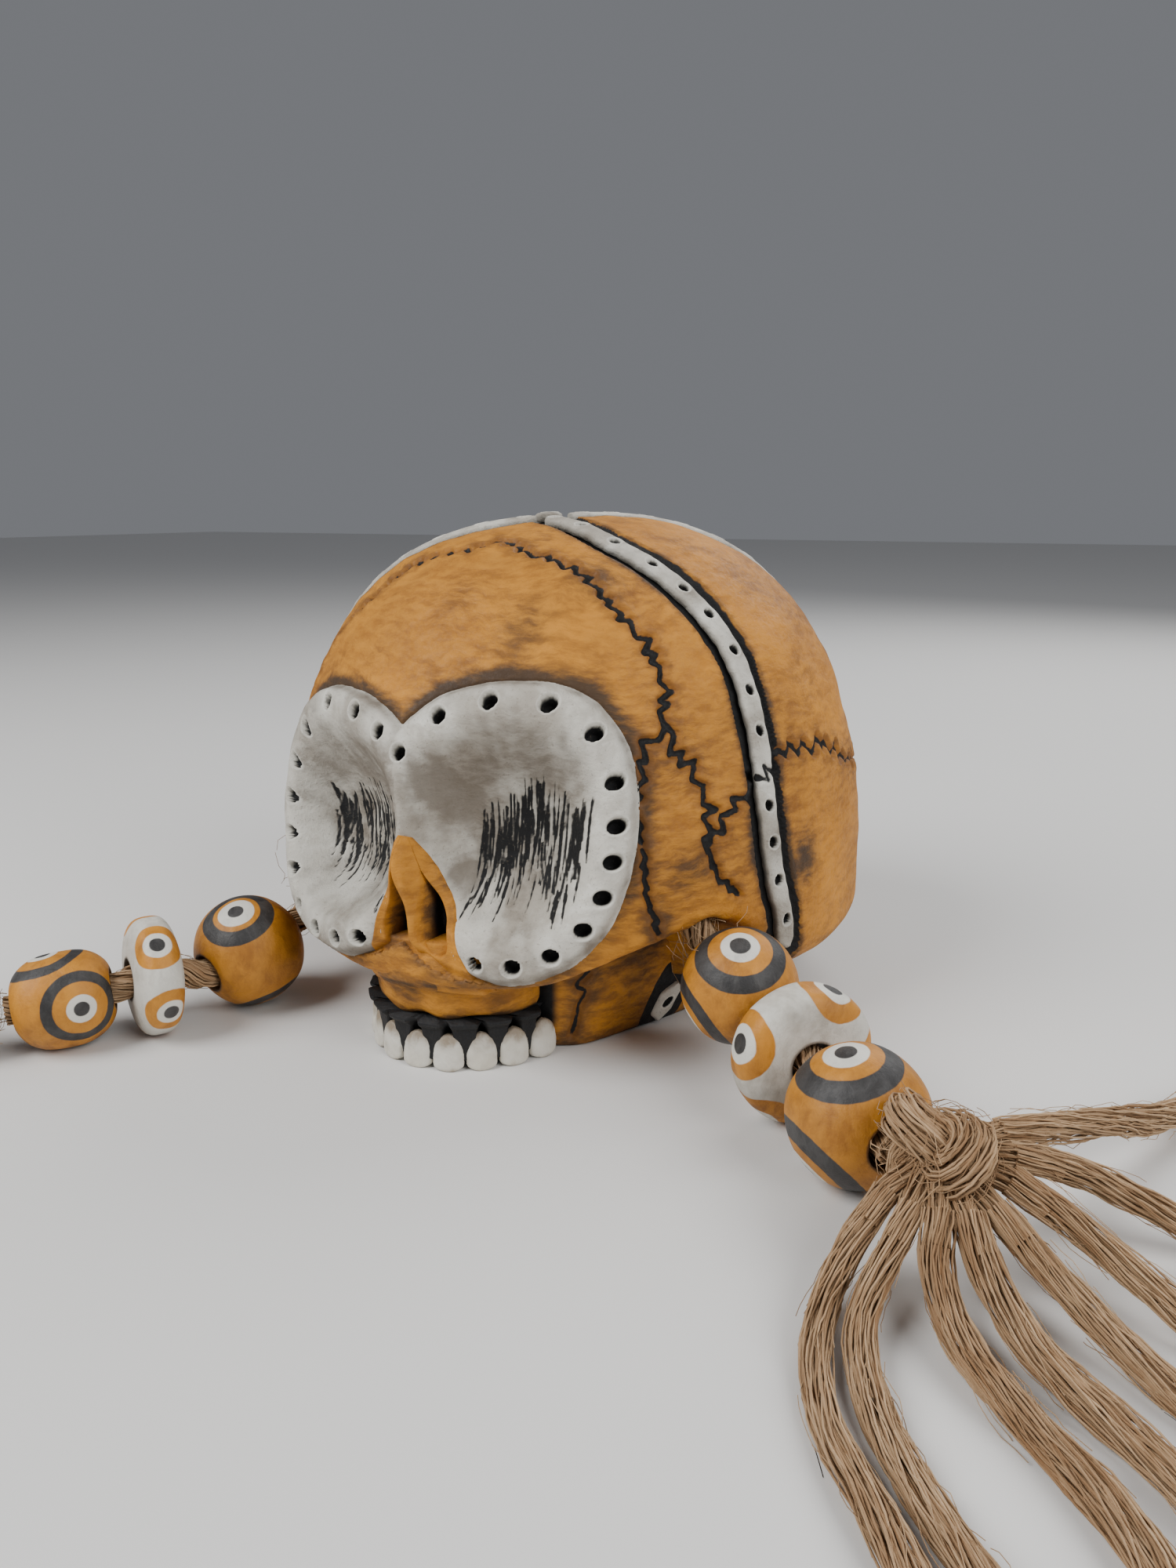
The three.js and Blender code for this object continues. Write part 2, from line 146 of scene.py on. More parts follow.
# shader groups that several finishes share
def buildBrushWork():
    # strokes of a dry brush: a broad patchiness, fine streaks and specks
    tree, given, out = newGroup(
        "brushWork", "ShaderNodeTree",
        [("Size", "NodeSocketFloat", 1.0), ("Streak", "NodeSocketFloat", 4.0)],
        [("Broad", "NodeSocketFloat"), ("Fine", "NodeSocketFloat"), ("Speck", "NodeSocketFloat")],
    )
    place = put(tree, "ShaderNodeTexCoord").outputs["Object"]
    broad = put(tree, "ShaderNodeTexNoise",
                {"Vector": place, "Detail": 5, "Roughness": 0.62, "Distortion": 0.25,
                                             "Scale": maths(tree, "MULTIPLY", given.outputs["Size"], 42)})
    stretch = put(tree, "ShaderNodeCombineXYZ", {0: 1, 1: 1, 2: given.outputs["Streak"]}).outputs[0]
    bend = put(tree, "ShaderNodeVectorMath", {0: broad.outputs["Color"], 1: (0.007, 0.007, 0.007)},
               operation="MULTIPLY")
    bent = put(tree, "ShaderNodeVectorMath", {0: place, 1: bend.outputs[0]}, operation="ADD")
    turned = put(tree, "ShaderNodeMapping",
                 {"Vector": bent.outputs[0], "Rotation": (0.35, 0.3, 0.5), "Scale": stretch})
    fine = put(tree, "ShaderNodeTexNoise", {"Vector": turned.outputs[0], "Detail": 5, "Roughness": 0.65,
                                            "Scale": maths(tree, "MULTIPLY", given.outputs["Size"], 240)})
    speck = put(tree, "ShaderNodeTexNoise", {"Vector": place, "Detail": 3, "Roughness": 0.7,
                                             "Scale": maths(tree, "MULTIPLY", given.outputs["Size"], 1300)})
    for label, node in (("Broad", broad), ("Fine", fine), ("Speck", speck)):
        tree.links.new(ramp(tree, node.outputs[0], 0.3, 0.7), out.inputs[label])
    return tree


def buildInkEdge():
    # 1 closer to a line than its width, with a hand-drawn edge; distances are in millimetres
    tree, given, out = newGroup(
        "inkEdge", "ShaderNodeTree",
        [("Distance", "NodeSocketFloat", 9.0), ("Width", "NodeSocketFloat", 0.5),
         ("Soft", "NodeSocketFloat", 0.08), ("Wobble", "NodeSocketFloat", 0.12)],
        [("Mask", "NodeSocketFloat")],
    )
    place = put(tree, "ShaderNodeTexCoord").outputs["Object"]
    noise = put(tree, "ShaderNodeTexNoise", {"Vector": place, "Scale": 650, "Detail": 3})
    swing = maths(tree, "MULTIPLY", maths(tree, "SUBTRACT", noise.outputs[0], 0.5), given.outputs["Wobble"])
    moved = maths(tree, "MULTIPLY_ADD", swing, 2.0, given.outputs["Distance"])
    past = maths(tree, "SUBTRACT", moved, given.outputs["Width"])
    ratio = maths(tree, "DIVIDE", past, given.outputs["Soft"])
    tree.links.new(ramp(tree, ratio, -1, 1, 1, 0), out.inputs["Mask"])
    return tree


brushWork = buildBrushWork()
inkEdge = buildInkEdge()


def group(tree, which, inputs):
    node = tree.nodes.new("ShaderNodeGroup")
    node.node_tree = which
    for key, value in inputs.items():
        if isinstance(value, bpy.types.NodeSocket):
            tree.links.new(value, node.inputs[key])
        else:
            node.inputs[key].default_value = value
    return node


def brushed(tree, size, streak):
    return group(tree, brushWork, {"Size": size, "Streak": streak})


def inked(tree, distance, width, soft=0.08, wobble=0.12):
    return group(tree, inkEdge,
                 {"Distance": distance, "Width": width, "Soft": soft, "Wobble": wobble}).outputs[0]


def newFinish(name, roughness=0.7, specular=0.35):
    material = bpy.data.materials.new(name)
    material.use_nodes = True
    tree = material.node_tree
    shader = tree.nodes["Principled BSDF"]
    shader.inputs["Roughness"].default_value = roughness
    shader.inputs["Specular IOR Level"].default_value = specular
    return material, tree, shader


def finishWith(tree, shader, color, height, lift, roughness=None):
    tree.links.new(color, shader.inputs["Base Color"])
    bump = put(tree, "ShaderNodeBump", {"Height": height, "Strength": 0.6, "Distance": lift})
    tree.links.new(bump.outputs[0], shader.inputs["Normal"])
    if roughness is not None:
        tree.links.new(roughness, shader.inputs["Roughness"])


# finishes
paint = {
    "ochre": (0.52, 0.205, 0.016, 1), "ochreBright": (0.72, 0.32, 0.04, 1),
    "ochreDeep": (0.26, 0.095, 0.010, 1),
    # dark for smudges and airbrushed paint, and for painted shade in recesses and underneath
    "smudgeAndShade": (0.030, 0.022, 0.016, 1), "ink": (0.0055, 0.0055, 0.006, 1),
    # dirt specks and grime, and painted shade in the mask's bowls
    "bone": (0.70, 0.68, 0.61, 1), "boneGrey": (0.37, 0.335, 0.28, 1), "boneDirtAndShade": (0.12, 0.092, 0.065, 1),
    "char": (0.022, 0.021, 0.021, 1), "charPale": (0.06, 0.057, 0.055, 1),
    # stain towards the top of each tooth, and painted shade at its foot
    "tooth": (0.62, 0.58, 0.48, 1), "toothStainAndShade": (0.20, 0.14, 0.08, 1),
}


def ochreCoat(tree, texture):
    worn = tint(tree, texture.outputs["Broad"], paint["ochreDeep"], paint["ochre"])
    streaky = maths(tree, "MULTIPLY", texture.outputs["Fine"], 0.42)
    return tint(tree, streaky, worn, paint["ochreBright"])


def boneCoat(tree, texture):
    aged = ramp(tree, texture.outputs["Broad"], 0.0, 0.75)
    base = tint(tree, aged, paint["boneGrey"], paint["bone"])
    rubbed = maths(tree, "MULTIPLY", texture.outputs["Fine"], 0.5)
    return tint(tree, rubbed, base, paint["boneGrey"])


def shaded(tree, texture, color, dark, name="shade", strength=0.92):
    # darkens towards the given colour by the shade attribute, which holds painted shade in recesses, on
    # undersides and between parts, as well as airbrushed dark paint, smudges and grime; stronger in the
    # hollows of the brush strokes
    level = attribute(tree, name)
    broken = maths(tree, "MULTIPLY_ADD", maths(tree, "SUBTRACT", texture.outputs["Fine"], 0.5), -0.35, level)
    amount = maths(tree, "MULTIPLY", ramp(tree, broken, 0.08, 1.0), strength)
    return tint(tree, amount, color, dark)


def makeOchre():
    material, tree, shader = newFinish("ochrePaint", 0.66)
    texture = brushed(tree, 1.0, 3.4)
    # darkened by the shade attribute: painted shade, airbrushed dark paint and smudges
    color = shaded(tree, texture, ochreCoat(tree, texture), paint["smudgeAndShade"])
    halo = inked(tree, attribute(tree, "line"), 1.1, 0.8, 0.3)
    color = tint(tree, maths(tree, "MULTIPLY", halo, 0.5), color, paint["ochreDeep"])
    line = inked(tree, attribute(tree, "line"), 0.43, 0.06, 0.32)
    groove = inked(tree, attribute(tree, "groove"), 3.7, 0.07, 0.2)
    dark = maths(tree, "MAXIMUM", line, groove)
    # pit: black paint in the nostrils, and on the base a painted shadow in the corner beside the jaw
    pit = ramp(tree, attribute(tree, "pit"), 0.25, 0.8)
    color = tint(tree, maths(tree, "MAXIMUM", dark, pit), color, paint["ink"])
    height = maths(tree, "MULTIPLY_ADD", texture.outputs["Speck"], 0.5, texture.outputs["Fine"])
    rough = ramp(tree, texture.outputs["Speck"], 0.0, 1.0, 0.58, 0.74)
    finishWith(tree, shader, color, height, 0.00012, rough)
    return material


def makeBone():
    material, tree, shader = newFinish("bonePaint", 0.68)
    texture = brushed(tree, 1.5, 2.2)
    # darkened by the shade attribute: painted shade in the mask's bowls, with grime along the rim
    color = shaded(tree, texture, boneCoat(tree, texture), paint["boneDirtAndShade"], strength=0.8)
    rim = inked(tree, attribute(tree, "hole"), 1.45, 0.12, 0.1)
    color = tint(tree, maths(tree, "MULTIPLY", rim, 0.55), color, paint["bone"])
    stroke = inked(tree, attribute(tree, "stroke"), 0.0, 0.06, 0.1)
    hole = inked(tree, attribute(tree, "hole"), 1.08, 0.08, 0.05)
    line = inked(tree, attribute(tree, "line"), 0.6, 0.07, 0.2)
    dark = maths(tree, "MAXIMUM", maths(tree, "MAXIMUM", stroke, hole), line)
    color = tint(tree, dark, color, paint["ink"])
    dots = maths(tree, "MULTIPLY", maths(tree, "GREATER_THAN", texture.outputs["Speck"], 0.94), 0.35)
    color = tint(tree, dots, color, paint["boneDirtAndShade"])
    height = maths(tree, "MULTIPLY_ADD", texture.outputs["Speck"], 0.6, texture.outputs["Fine"])
    finishWith(tree, shader, color, height, 0.00012)
    return material


def makeCharcoal():
    material, tree, shader = newFinish("charcoalPaint", 0.62)
    texture = brushed(tree, 2.2, 0.5)
    color = tint(tree, texture.outputs["Fine"], paint["ink"], (0.007, 0.007, 0.008, 1))
    rubbed = maths(tree, "MULTIPLY",
                   maths(tree, "MULTIPLY", attribute(tree, "wear"), texture.outputs["Speck"]), 0.4)
    color = tint(tree, rubbed, color, paint["charPale"])
    finishWith(tree, shader, color, texture.outputs["Fine"], 0.0002)
    return material


def makeTooth():
    material, tree, shader = newFinish("toothPaint", 0.5, 0.45)
    texture = brushed(tree, 2.6, 0.5)
    base = tint(tree, texture.outputs["Broad"], paint["tooth"], paint["bone"])
    # darker towards the top, and painted shade at the foot where the teeth meet the floor
    color = shaded(tree, texture, base, paint["toothStainAndShade"], strength=0.85)
    color = tint(tree, maths(tree, "MULTIPLY", texture.outputs["Fine"], 0.25), color, paint["boneGrey"])
    finishWith(tree, shader, color, texture.outputs["Fine"], 0.00012)
    return material


def makeEyeBead(name, rings, ground):
    # rings: radii of the pupil, the white, the ochre and the outer charcoal, in millimetres
    material, tree, shader = newFinish(name, 0.52, 0.4)
    texture = brushed(tree, 1.8, 0.6)
    ochre = ochreCoat(tree, texture)
    bone = boneCoat(tree, texture)
    char = tint(tree, texture.outputs["Fine"], paint["char"], paint["charPale"])
    pupil, white, inner, outer = rings
    eye = attribute(tree, "eye")
    color = bone if ground == "bone" else ochre
    if outer > inner:
        color = tint(tree, inked(tree, eye, outer, 0.1, 0.12), color, char)
    color = tint(tree, inked(tree, eye, inner, 0.1, 0.14), color, ochre)
    color = tint(tree, inked(tree, eye, white, 0.1, 0.1), color, paint["bone"])
    color = tint(tree, inked(tree, eye, pupil, 0.1, 0.1), color, char)
    # painted shade from the shade attribute, in the bore and underneath
    color = shaded(tree, texture, color, paint["smudgeAndShade"], strength=0.8)
    height = maths(tree, "MULTIPLY_ADD", texture.outputs["Speck"], 0.4, texture.outputs["Fine"])
    finishWith(tree, shader, color, height, 0.00008)
    return material


def makeJute():
    material, tree, shader = newFinish("juteFibre", 0.85, 0.25)
    tone = attribute(tree, "tone")
    texture = brushed(tree, 2.0, 1.0)
    mixed = maths(tree, "MULTIPLY_ADD", texture.outputs["Broad"], 0.45, maths(tree, "MULTIPLY", tone, 0.6))
    color = tint(tree, mixed, (0.24, 0.125, 0.055, 1), (0.60, 0.42, 0.25, 1))
    color = tint(tree, maths(tree, "MULTIPLY", texture.outputs["Speck"], 0.3), color, (0.36, 0.21, 0.105, 1))
    finishWith(tree, shader, color, texture.outputs["Speck"], 0.00006)
    return material


ochrePaint = makeOchre()
bonePaint = makeBone()
charcoalPaint = makeCharcoal()
toothPaint = makeTooth()
juteFibre = makeJute()
print("finishes made")


# curves and meshes
def smoothLine(points, spacing):
    # centripetal Catmull-Rom through the points, then evenly spaced along its length
    knots = np.array(points, float)
    ends = np.vstack([2 * knots[0] - knots[1], knots, 2 * knots[-1] - knots[-2]])
    dense = []
    for i in range(len(knots) - 1):
        p0, p1, p2, p3 = ends[i:i + 4]
        gaps = [max(np.linalg.norm(b - a), 1e-6) ** 0.5 for a, b in ((p0, p1), (p1, p2), (p2, p3))]
        lead = ((p1 - p0) / gaps[0] - (p2 - p0) / (gaps[0] + gaps[1]) + (p2 - p1) / gaps[1]) * gaps[1]
        leave = ((p2 - p1) / gaps[1] - (p3 - p1) / (gaps[1] + gaps[2]) + (p3 - p2) / gaps[2]) * gaps[1]
        t = np.linspace(0, 1, 24, endpoint=False)[:, None]
        dense.append(p1 + lead * t + (3 * (p2 - p1) - 2 * lead - leave) * t ** 2
                     + (2 * (p1 - p2) + lead + leave) * t ** 3)
    return evenly(np.vstack([*dense, knots[-1:]]), spacing)


def evenly(line, spacing):
    run = np.concatenate([[0], np.cumsum(np.linalg.norm(np.diff(line, axis=0), axis=1))])
    at = np.linspace(0, run[-1], max(int(round(run[-1] / spacing)), 2) + 1)
    return np.stack([np.interp(at, run, line[:, k]) for k in range(3)], 1)


def unit(vectors):
    return vectors / np.maximum(np.linalg.norm(vectors, axis=-1, keepdims=True), 1e-9)


def step(value, low, high):
    t = np.clip((value - low) / (high - low), 0, 1)
    return t * t * (3 - 2 * t)


def ripple(points, size, seed):
    # soft unevenness of hand-worked clay, from -1 to 1
    rng = np.random.default_rng(seed)
    total = np.zeros(points.shape[:-1])
    for _ in range(10):
        way = unit(rng.normal(size=3)) * 2 * math.pi / (size * rng.uniform(0.7, 1.6))
        total += np.sin(points @ way + rng.uniform(0, 2 * math.pi))
    return total / 5


def nearest(points, targets, reach=6.0):
    # distance from each point to the closest target
    tree = KDTree(len(targets))
    for i, target in enumerate(targets):
        tree.insert(target, i)
    tree.balance()
    low = targets.min(0) - reach
    high = targets.max(0) + reach
    found = np.full(len(points), reach)
    for i in np.flatnonzero(((points > low) & (points < high)).all(1)):
        found[i] = min(tree.find(points[i])[2], reach)
    return found


def triangles(quads):
    return np.vstack([quads[:, [0, 1, 2]], quads[:, [0, 2, 3]]])


def makePiece(name, points, faces, finish, nodes=(), body="skull", layers=None):
    mesh = bpy.data.meshes.new(name)
    mesh.vertices.add(len(points))
    mesh.vertices.foreach_set("co", (np.asarray(points, float) * metre).ravel())
    mesh.loops.add(faces.size)
    mesh.loops.foreach_set("vertex_index", faces.ravel().astype(np.int32))
    mesh.polygons.add(len(faces))
    mesh.polygons.foreach_set("loop_start", np.arange(0, faces.size, faces.shape[1], dtype=np.int32))
    mesh.update(calc_edges=True)
    mesh.validate()
    mesh.shade_smooth()
    for label, values in {"line": None, "groove": None, "pit": None, "hole": None, "stroke": None,
                          "shade": None, **(layers or {})}.items():
        start = 9.0 if label in ("line", "groove", "hole", "stroke") else 0.0
        data = np.full(len(points), start) if values is None else values
        layer = mesh.attributes.new(label, "FLOAT", "POINT")
        layer.data.foreach_set("value", np.asarray(data, np.float32))
    mesh.materials.append(finish)
    piece = bpy.data.objects.new(name, mesh)
    bpy.context.scene.collection.objects.link(piece)
    return settle(piece, nodes, body)


def settle(piece, nodes, body="skull"):
    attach(piece, body)
    if nodes:
        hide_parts(*nodes)
    return piece


def stack(loops, capLow=True, capHigh=True):
    # closed skin over a pile of loops that all have as many points
    loops = np.asarray(loops, float)
    levels, around = loops.shape[:2]
    points = loops.reshape(-1, 3)
    i = np.arange(around)
    j = (i + 1) % around
    quads = [np.stack([k * around + i, k * around + j, (k + 1) * around + j, (k + 1) * around + i], 1)
             for k in range(levels - 1)]
    faces = [triangles(np.vstack(quads))]
    if capLow:
        points = np.vstack([points, loops[0].mean(0)])
        faces.append(np.stack([j, i, np.full(around, len(points) - 1)], 1))
    if capHigh:
        points = np.vstack([points, loops[-1].mean(0)])
        top = (levels - 1) * around
        faces.append(np.stack([top + i, top + j, np.full(around, len(points) - 1)], 1))
    return points, np.vstack(faces)


# jute: Geometry Nodes lay a bundle of fibres along each line, with loose hairs around it
def buildJuteTree():
    tree, given, out = newGroup(
        "juteBundle", "GeometryNodeTree",
        [("Geometry", "NodeSocketGeometry", None), ("Fibres", "NodeSocketInt", 40),
         ("Hairs", "NodeSocketInt", 20),
         ("Bundle Radius", "NodeSocketFloat", 0.001), ("Fibre Radius", "NodeSocketFloat", 0.0002),
         ("Twist", "NodeSocketFloat", 150.0), ("Wander", "NodeSocketFloat", 0.0004),
         ("Fray", "NodeSocketFloat", 0.3), ("Hair Reach", "NodeSocketFloat", 0.0012),
         ("Step", "NodeSocketFloat", 0.0012), ("Seed", "NodeSocketInt", 0),
         ("Material", "NodeSocketMaterial", None)],
        [("Geometry", "NodeSocketGeometry")],
    )
    value = given.outputs

    def layer(count, radius, spread, wander, seedShift, sides, trimmed):
        spaced = put(tree, "GeometryNodeResampleCurve", {"Curve": value["Geometry"], "Length": value["Step"]},
                     mode="LENGTH")
        copies = put(tree, "GeometryNodeDuplicateElements", {"Geometry": spaced.outputs[0], "Amount": count},
                     domain="SPLINE")
        index = copies.outputs["Duplicate Index"]

        def chance(shift, low=0.0, high=1.0):
            seed = maths(tree, "ADD", value["Seed"], float(seedShift + shift))
            node = put(tree, "FunctionNodeRandomValue", {2: low, 3: high, 7: index, 8: seed},
                       data_type="FLOAT")
            return node.outputs[1]

        along = put(tree, "GeometryNodeSplineParameter")
        angle = maths(tree, "MULTIPLY_ADD", along.outputs["Length"], value["Twist"],
                      chance(1, 0.0, 2 * math.pi))
        flare = maths(tree, "MULTIPLY", maths(tree, "POWER", along.outputs["Factor"], 3.0), value["Fray"])
        reach = maths(tree, "MULTIPLY", maths(tree, "SQRT", chance(2, *spread)), value["Bundle Radius"])
        reach = maths(tree, "MULTIPLY", reach, maths(tree, "ADD", flare, 1.0))
        lane = maths(tree, "MULTIPLY", chance(3), 97.0)
        far = maths(tree, "MULTIPLY", along.outputs["Length"], 110.0)
        spot = put(tree, "ShaderNodeCombineXYZ", {0: lane, 1: far})
        noise = put(tree, "ShaderNodeTexNoise", {"Vector": spot.outputs[0], "Scale": 1.0, "Detail": 2})
        drift = put(tree, "ShaderNodeSeparateXYZ", {0: noise.outputs["Color"]})
        normal = put(tree, "GeometryNodeInputNormal").outputs[0]
        tangent = put(tree, "GeometryNodeInputTangent").outputs[0]
        side = put(tree, "ShaderNodeVectorMath", {0: tangent, 1: normal},
                   operation="CROSS_PRODUCT").outputs[0]
        shifts = []
        for way, turn, part in ((normal, "COSINE", 0), (side, "SINE", 1)):
            swing = maths(tree, "MULTIPLY", maths(tree, "SUBTRACT", drift.outputs[part], 0.5), wander)
            amount = maths(tree, "MULTIPLY_ADD", maths(tree, turn, angle), reach,
                           maths(tree, "MULTIPLY", swing, 2.0))
            shifts.append(put(tree, "ShaderNodeVectorMath", {0: way, "Scale": amount},
                              operation="SCALE").outputs[0])
        offset = put(tree, "ShaderNodeVectorMath", {0: shifts[0], 1: shifts[1]}, operation="ADD").outputs[0]
        moved = put(tree, "GeometryNodeSetPosition",
                    {"Geometry": copies.outputs[0], "Offset": offset}).outputs[0]
        toned = put(tree, "GeometryNodeStoreNamedAttribute",
                    {"Geometry": moved, "Name": "tone", "Value": chance(4)},
                    data_type="FLOAT", domain="POINT").outputs[0]
        if trimmed:
            start = chance(5, 0.0, 0.85)
            end = maths(tree, "ADD", start, chance(6, 0.08, 0.2))
            toned = put(tree, "GeometryNodeTrimCurve", {"Curve": toned, "Start": start, "End": end},
                        mode="FACTOR").outputs[0]
        ring = put(tree, "GeometryNodeCurvePrimitiveCircle", {"Resolution": sides, "Radius": radius},
                   mode="RADIUS")
        size = put(tree, "GeometryNodeSetCurveRadius",
                   {"Curve": toned, "Radius": chance(7, 0.6, 1.25)}).outputs[0]
        return put(tree, "GeometryNodeCurveToMesh",
                   {"Curve": size, "Profile Curve": ring.outputs[0], "Fill Caps": True}).outputs[0]

    core = layer(value["Fibres"], value["Fibre Radius"], (0.0, 1.0), value["Wander"], 0, 5, False)
    hairs = layer(value["Hairs"], 0.00005, (0.8, 1.3), value["Hair Reach"], 20, 3, True)
    both = put(tree, "GeometryNodeJoinGeometry")
    for part in (core, hairs):
        tree.links.new(part, both.inputs[0])
    smooth = put(tree, "GeometryNodeSetShadeSmooth", {"Geometry": both.outputs[0]}).outputs[0]
    coated = put(tree, "GeometryNodeSetMaterial",
                 {"Geometry": smooth, "Material": value["Material"]}).outputs[0]
    plain = put(tree, "GeometryNodeRealizeInstances", {"Geometry": coated}).outputs[0]
    tree.links.new(plain, out.inputs[0])
    return tree


juteTree = buildJuteTree()


def spin(name, lines, values):
    # lays the jute tree along the lines and gives a plain mesh back
    curve = bpy.data.curves.new(name + "Line", "CURVE")
    curve.dimensions = "3D"
    for line in lines:
        spline = curve.splines.new("POLY")
        spline.points.add(len(line) - 1)
        spline.points.foreach_set("co", np.hstack([line * metre, np.ones((len(line), 1))]).ravel())
    carrier = bpy.data.objects.new(name + "Line", curve)
    bpy.context.scene.collection.objects.link(carrier)
    modifier = carrier.modifiers.new("jute", "NODES")
    modifier.node_group = juteTree
    sockets = {s.name: s.identifier for s in juteTree.interface.items_tree if s.in_out == "INPUT"}
    for key, value in {**values, "Material": juteFibre}.items():
        modifier[sockets[key]] = value
    bpy.context.view_layer.update()
    graph = bpy.context.evaluated_depsgraph_get()
    mesh = bpy.data.meshes.new_from_object(carrier.evaluated_get(graph), depsgraph=graph)
    mesh.name = name
    bpy.data.objects.remove(carrier)
    places = np.zeros(len(mesh.vertices) * 3)
    mesh.vertices.foreach_get("co", places)
    places[2::3] = np.maximum(places[2::3], 0.00004)
    mesh.vertices.foreach_set("co", places)
    mesh.update()
    piece = bpy.data.objects.new(name, mesh)
    bpy.context.scene.collection.objects.link(piece)
    return piece


# cords: the bundle each way out of the skull, its knot and its tassel, by the CAD model's own routes
bundleRoutes = {
    "right": [
        (0.2, -4, 33.5), (9, -4, 33.5), (18, -6.2, 32.4), (26, -10, 29.6), (32, -12, 26.2), (35.4, -13, 22),
        (37.2, -13.7, 19.2), (43.4, -15.7, 14.3), (49.4, -17.7, 9.6), (52, -20.1, 9.6), (55.2, -23.5, 9.9),
        (58.4, -26.8, 9.9), (60, -29.2, 9.4), (65.9, -35.1, 9), (71.9, -41, 9.1),
    ],
    "left": [
        (-0.2, -4, 33.5), (-9, -4, 33.5), (-18, -6.2, 32.4), (-26, -10, 29.6), (-32.4, -11.8, 26),
        (-35.4, -11.8, 20.8), (-36.2, -13.2, 15.6), (-36.3, -16, 12.6), (-36.7, -19, 11.3),
        (-38.8, -27.4, 9.3),
        (-40.9, -36, 7.5), (-42.4, -39.2, 8.9), (-44.4, -42.9, 9.4), (-46.4, -46, 9), (-48, -47.3, 8.3),
        (-53.1, -52.7, 7.5), (-58.6, -58.8, 6.7),
    ],
}
knotPlaces = {
    "right": {"at": (77, -45.3, 12.6), "size": (6.6, 5.4, 5.4), "turn": -32},
    "left": {"at": (-63.6, -64.2, 6.6), "size": (5.8, 5.6, 5.6), "turn": 45},
}
tasselRoutes = {
    "right": [
        (2.2, [(73, -50.5, 9.4), (71, -55.1, 6.1), (69.8, -61.5, 2.9), (71.2, -70, 1.4), (75, -78, 1.4),
               (81, -85, 1.4), (87, -93, 1.4)]),
        (2.2, [(76, -51.7, 9), (74.8, -57.1, 5.7), (74.2, -64.5, 2.9), (77.6, -73, 1.4), (83.5, -81, 1.4),
               (91, -89, 1.4), (98, -98, 1.4)]),
        (2.6, [(78.8, -51.7, 9.2), (79.8, -56.6, 5.9), (83.4, -62.5, 3), (90.5, -69, 1.6), (98, -76, 1.6),
               (104, -85, 1.6), (108, -95, 1.6)]),
        (2.6, [(81.6, -51.1, 9.2), (84.8, -55.7, 5.9), (89.9, -60.7, 3), (98, -66.2, 1.6), (106, -73, 1.6),
               (113, -81, 1.6), (118, -90, 1.6)]),
        (2.4, [(84, -49.1, 9.8), (88.8, -51.5, 6.7), (95.9, -55.1, 3.4), (104, -60.6, 1.5), (112, -66, 1.5),
               (121, -71, 1.5)]),
        (2.4, [(84.8, -45.7, 11.4), (90.8, -45.5, 8.5), (98.4, -47.1, 4.6), (107, -50.6, 1.8),
               (116, -54.6, 1.5),
               (126, -58, 1.5)]),
        (2.4, [(84.4, -42.5, 12.4), (90.8, -38.1, 10.1), (98.4, -34.9, 6.4), (107, -33.6, 2.6),
               (116, -34.6, 1.5),
               (126, -37, 1.5)]),
        (2.6, [(82.6, -40.1, 13.2), (87.4, -33.1, 11.7), (92.4, -23.9, 9), (97.4, -13, 5.4), (102, -2.4, 2.8),
               (107, 8, 1.6), (112, 18, 1.6)]),
    ],
    "left": [
        (2.4, [(-65.2, -71, 5.4), (-66.4, -78, 2.8), (-67, -88, 1.5), (-65, -98, 1.5), (-61, -108, 1.5),
               (-58, -118, 1.5)]),
        (2.4, [(-67.8, -70, 5.6), (-72, -77, 2.8), (-76.6, -86, 1.5), (-79, -96, 1.5), (-78, -107, 1.5),
               (-75, -117, 1.5)]),
        (2.6, [(-70, -67.8, 5.6), (-77, -74, 2.8), (-84.6, -82, 1.6), (-91, -91, 1.6), (-95, -101, 1.6),
               (-97, -111, 1.6)]),
        (2.4, [(-70.8, -64.6, 5.6), (-78.6, -67, 2.8), (-88, -71.4, 1.5), (-97, -78, 1.5), (-105, -86, 1.5),
               (-112, -94, 1.5)]),
        (2.4, [(-70.4, -61.4, 5.6), (-78, -60.2, 2.8), (-88, -60.8, 1.5), (-98, -64, 1.5), (-107, -69, 1.5),
               (-116, -75, 1.5)]),
    ],
}
juteSetup = {
    "bundle": {"Fibres": 120, "Hairs": 90, "Bundle Radius": 0.0022, "Fibre Radius": 0.00018, "Twist": 240.0,
               "Wander": 0.0006, "Fray": 0.0, "Hair Reach": 0.0022, "Step": 0.0012},
    "tassel": {"Fibres": 84, "Hairs": 50, "Fibre Radius": 0.00012, "Twist": 70.0,
               "Wander": 0.0010, "Fray": 0.25, "Hair Reach": 0.0024, "Step": 0.0014},
    "knot": {"Fibres": 96, "Hairs": 170, "Bundle Radius": 0.0025, "Fibre Radius": 0.00016, "Twist": 110.0,
             "Wander": 0.0018, "Fray": 0.0, "Hair Reach": 0.0036, "Step": 0.0010},
    "root": {"Fibres": 60, "Hairs": 16, "Bundle Radius": 0.0014, "Fibre Radius": 0.00013, "Twist": 70.0,
             "Wander": 0.0010, "Fray": 0.0, "Hair Reach": 0.0030, "Step": 0.0010},
    "stray": {"Fibres": 3, "Hairs": 90, "Bundle Radius": 0.0030, "Fibre Radius": 0.00008, "Twist": 60.0,
              "Wander": 0.0060, "Fray": 0.0, "Hair Reach": 0.0110, "Step": 0.0012},
}


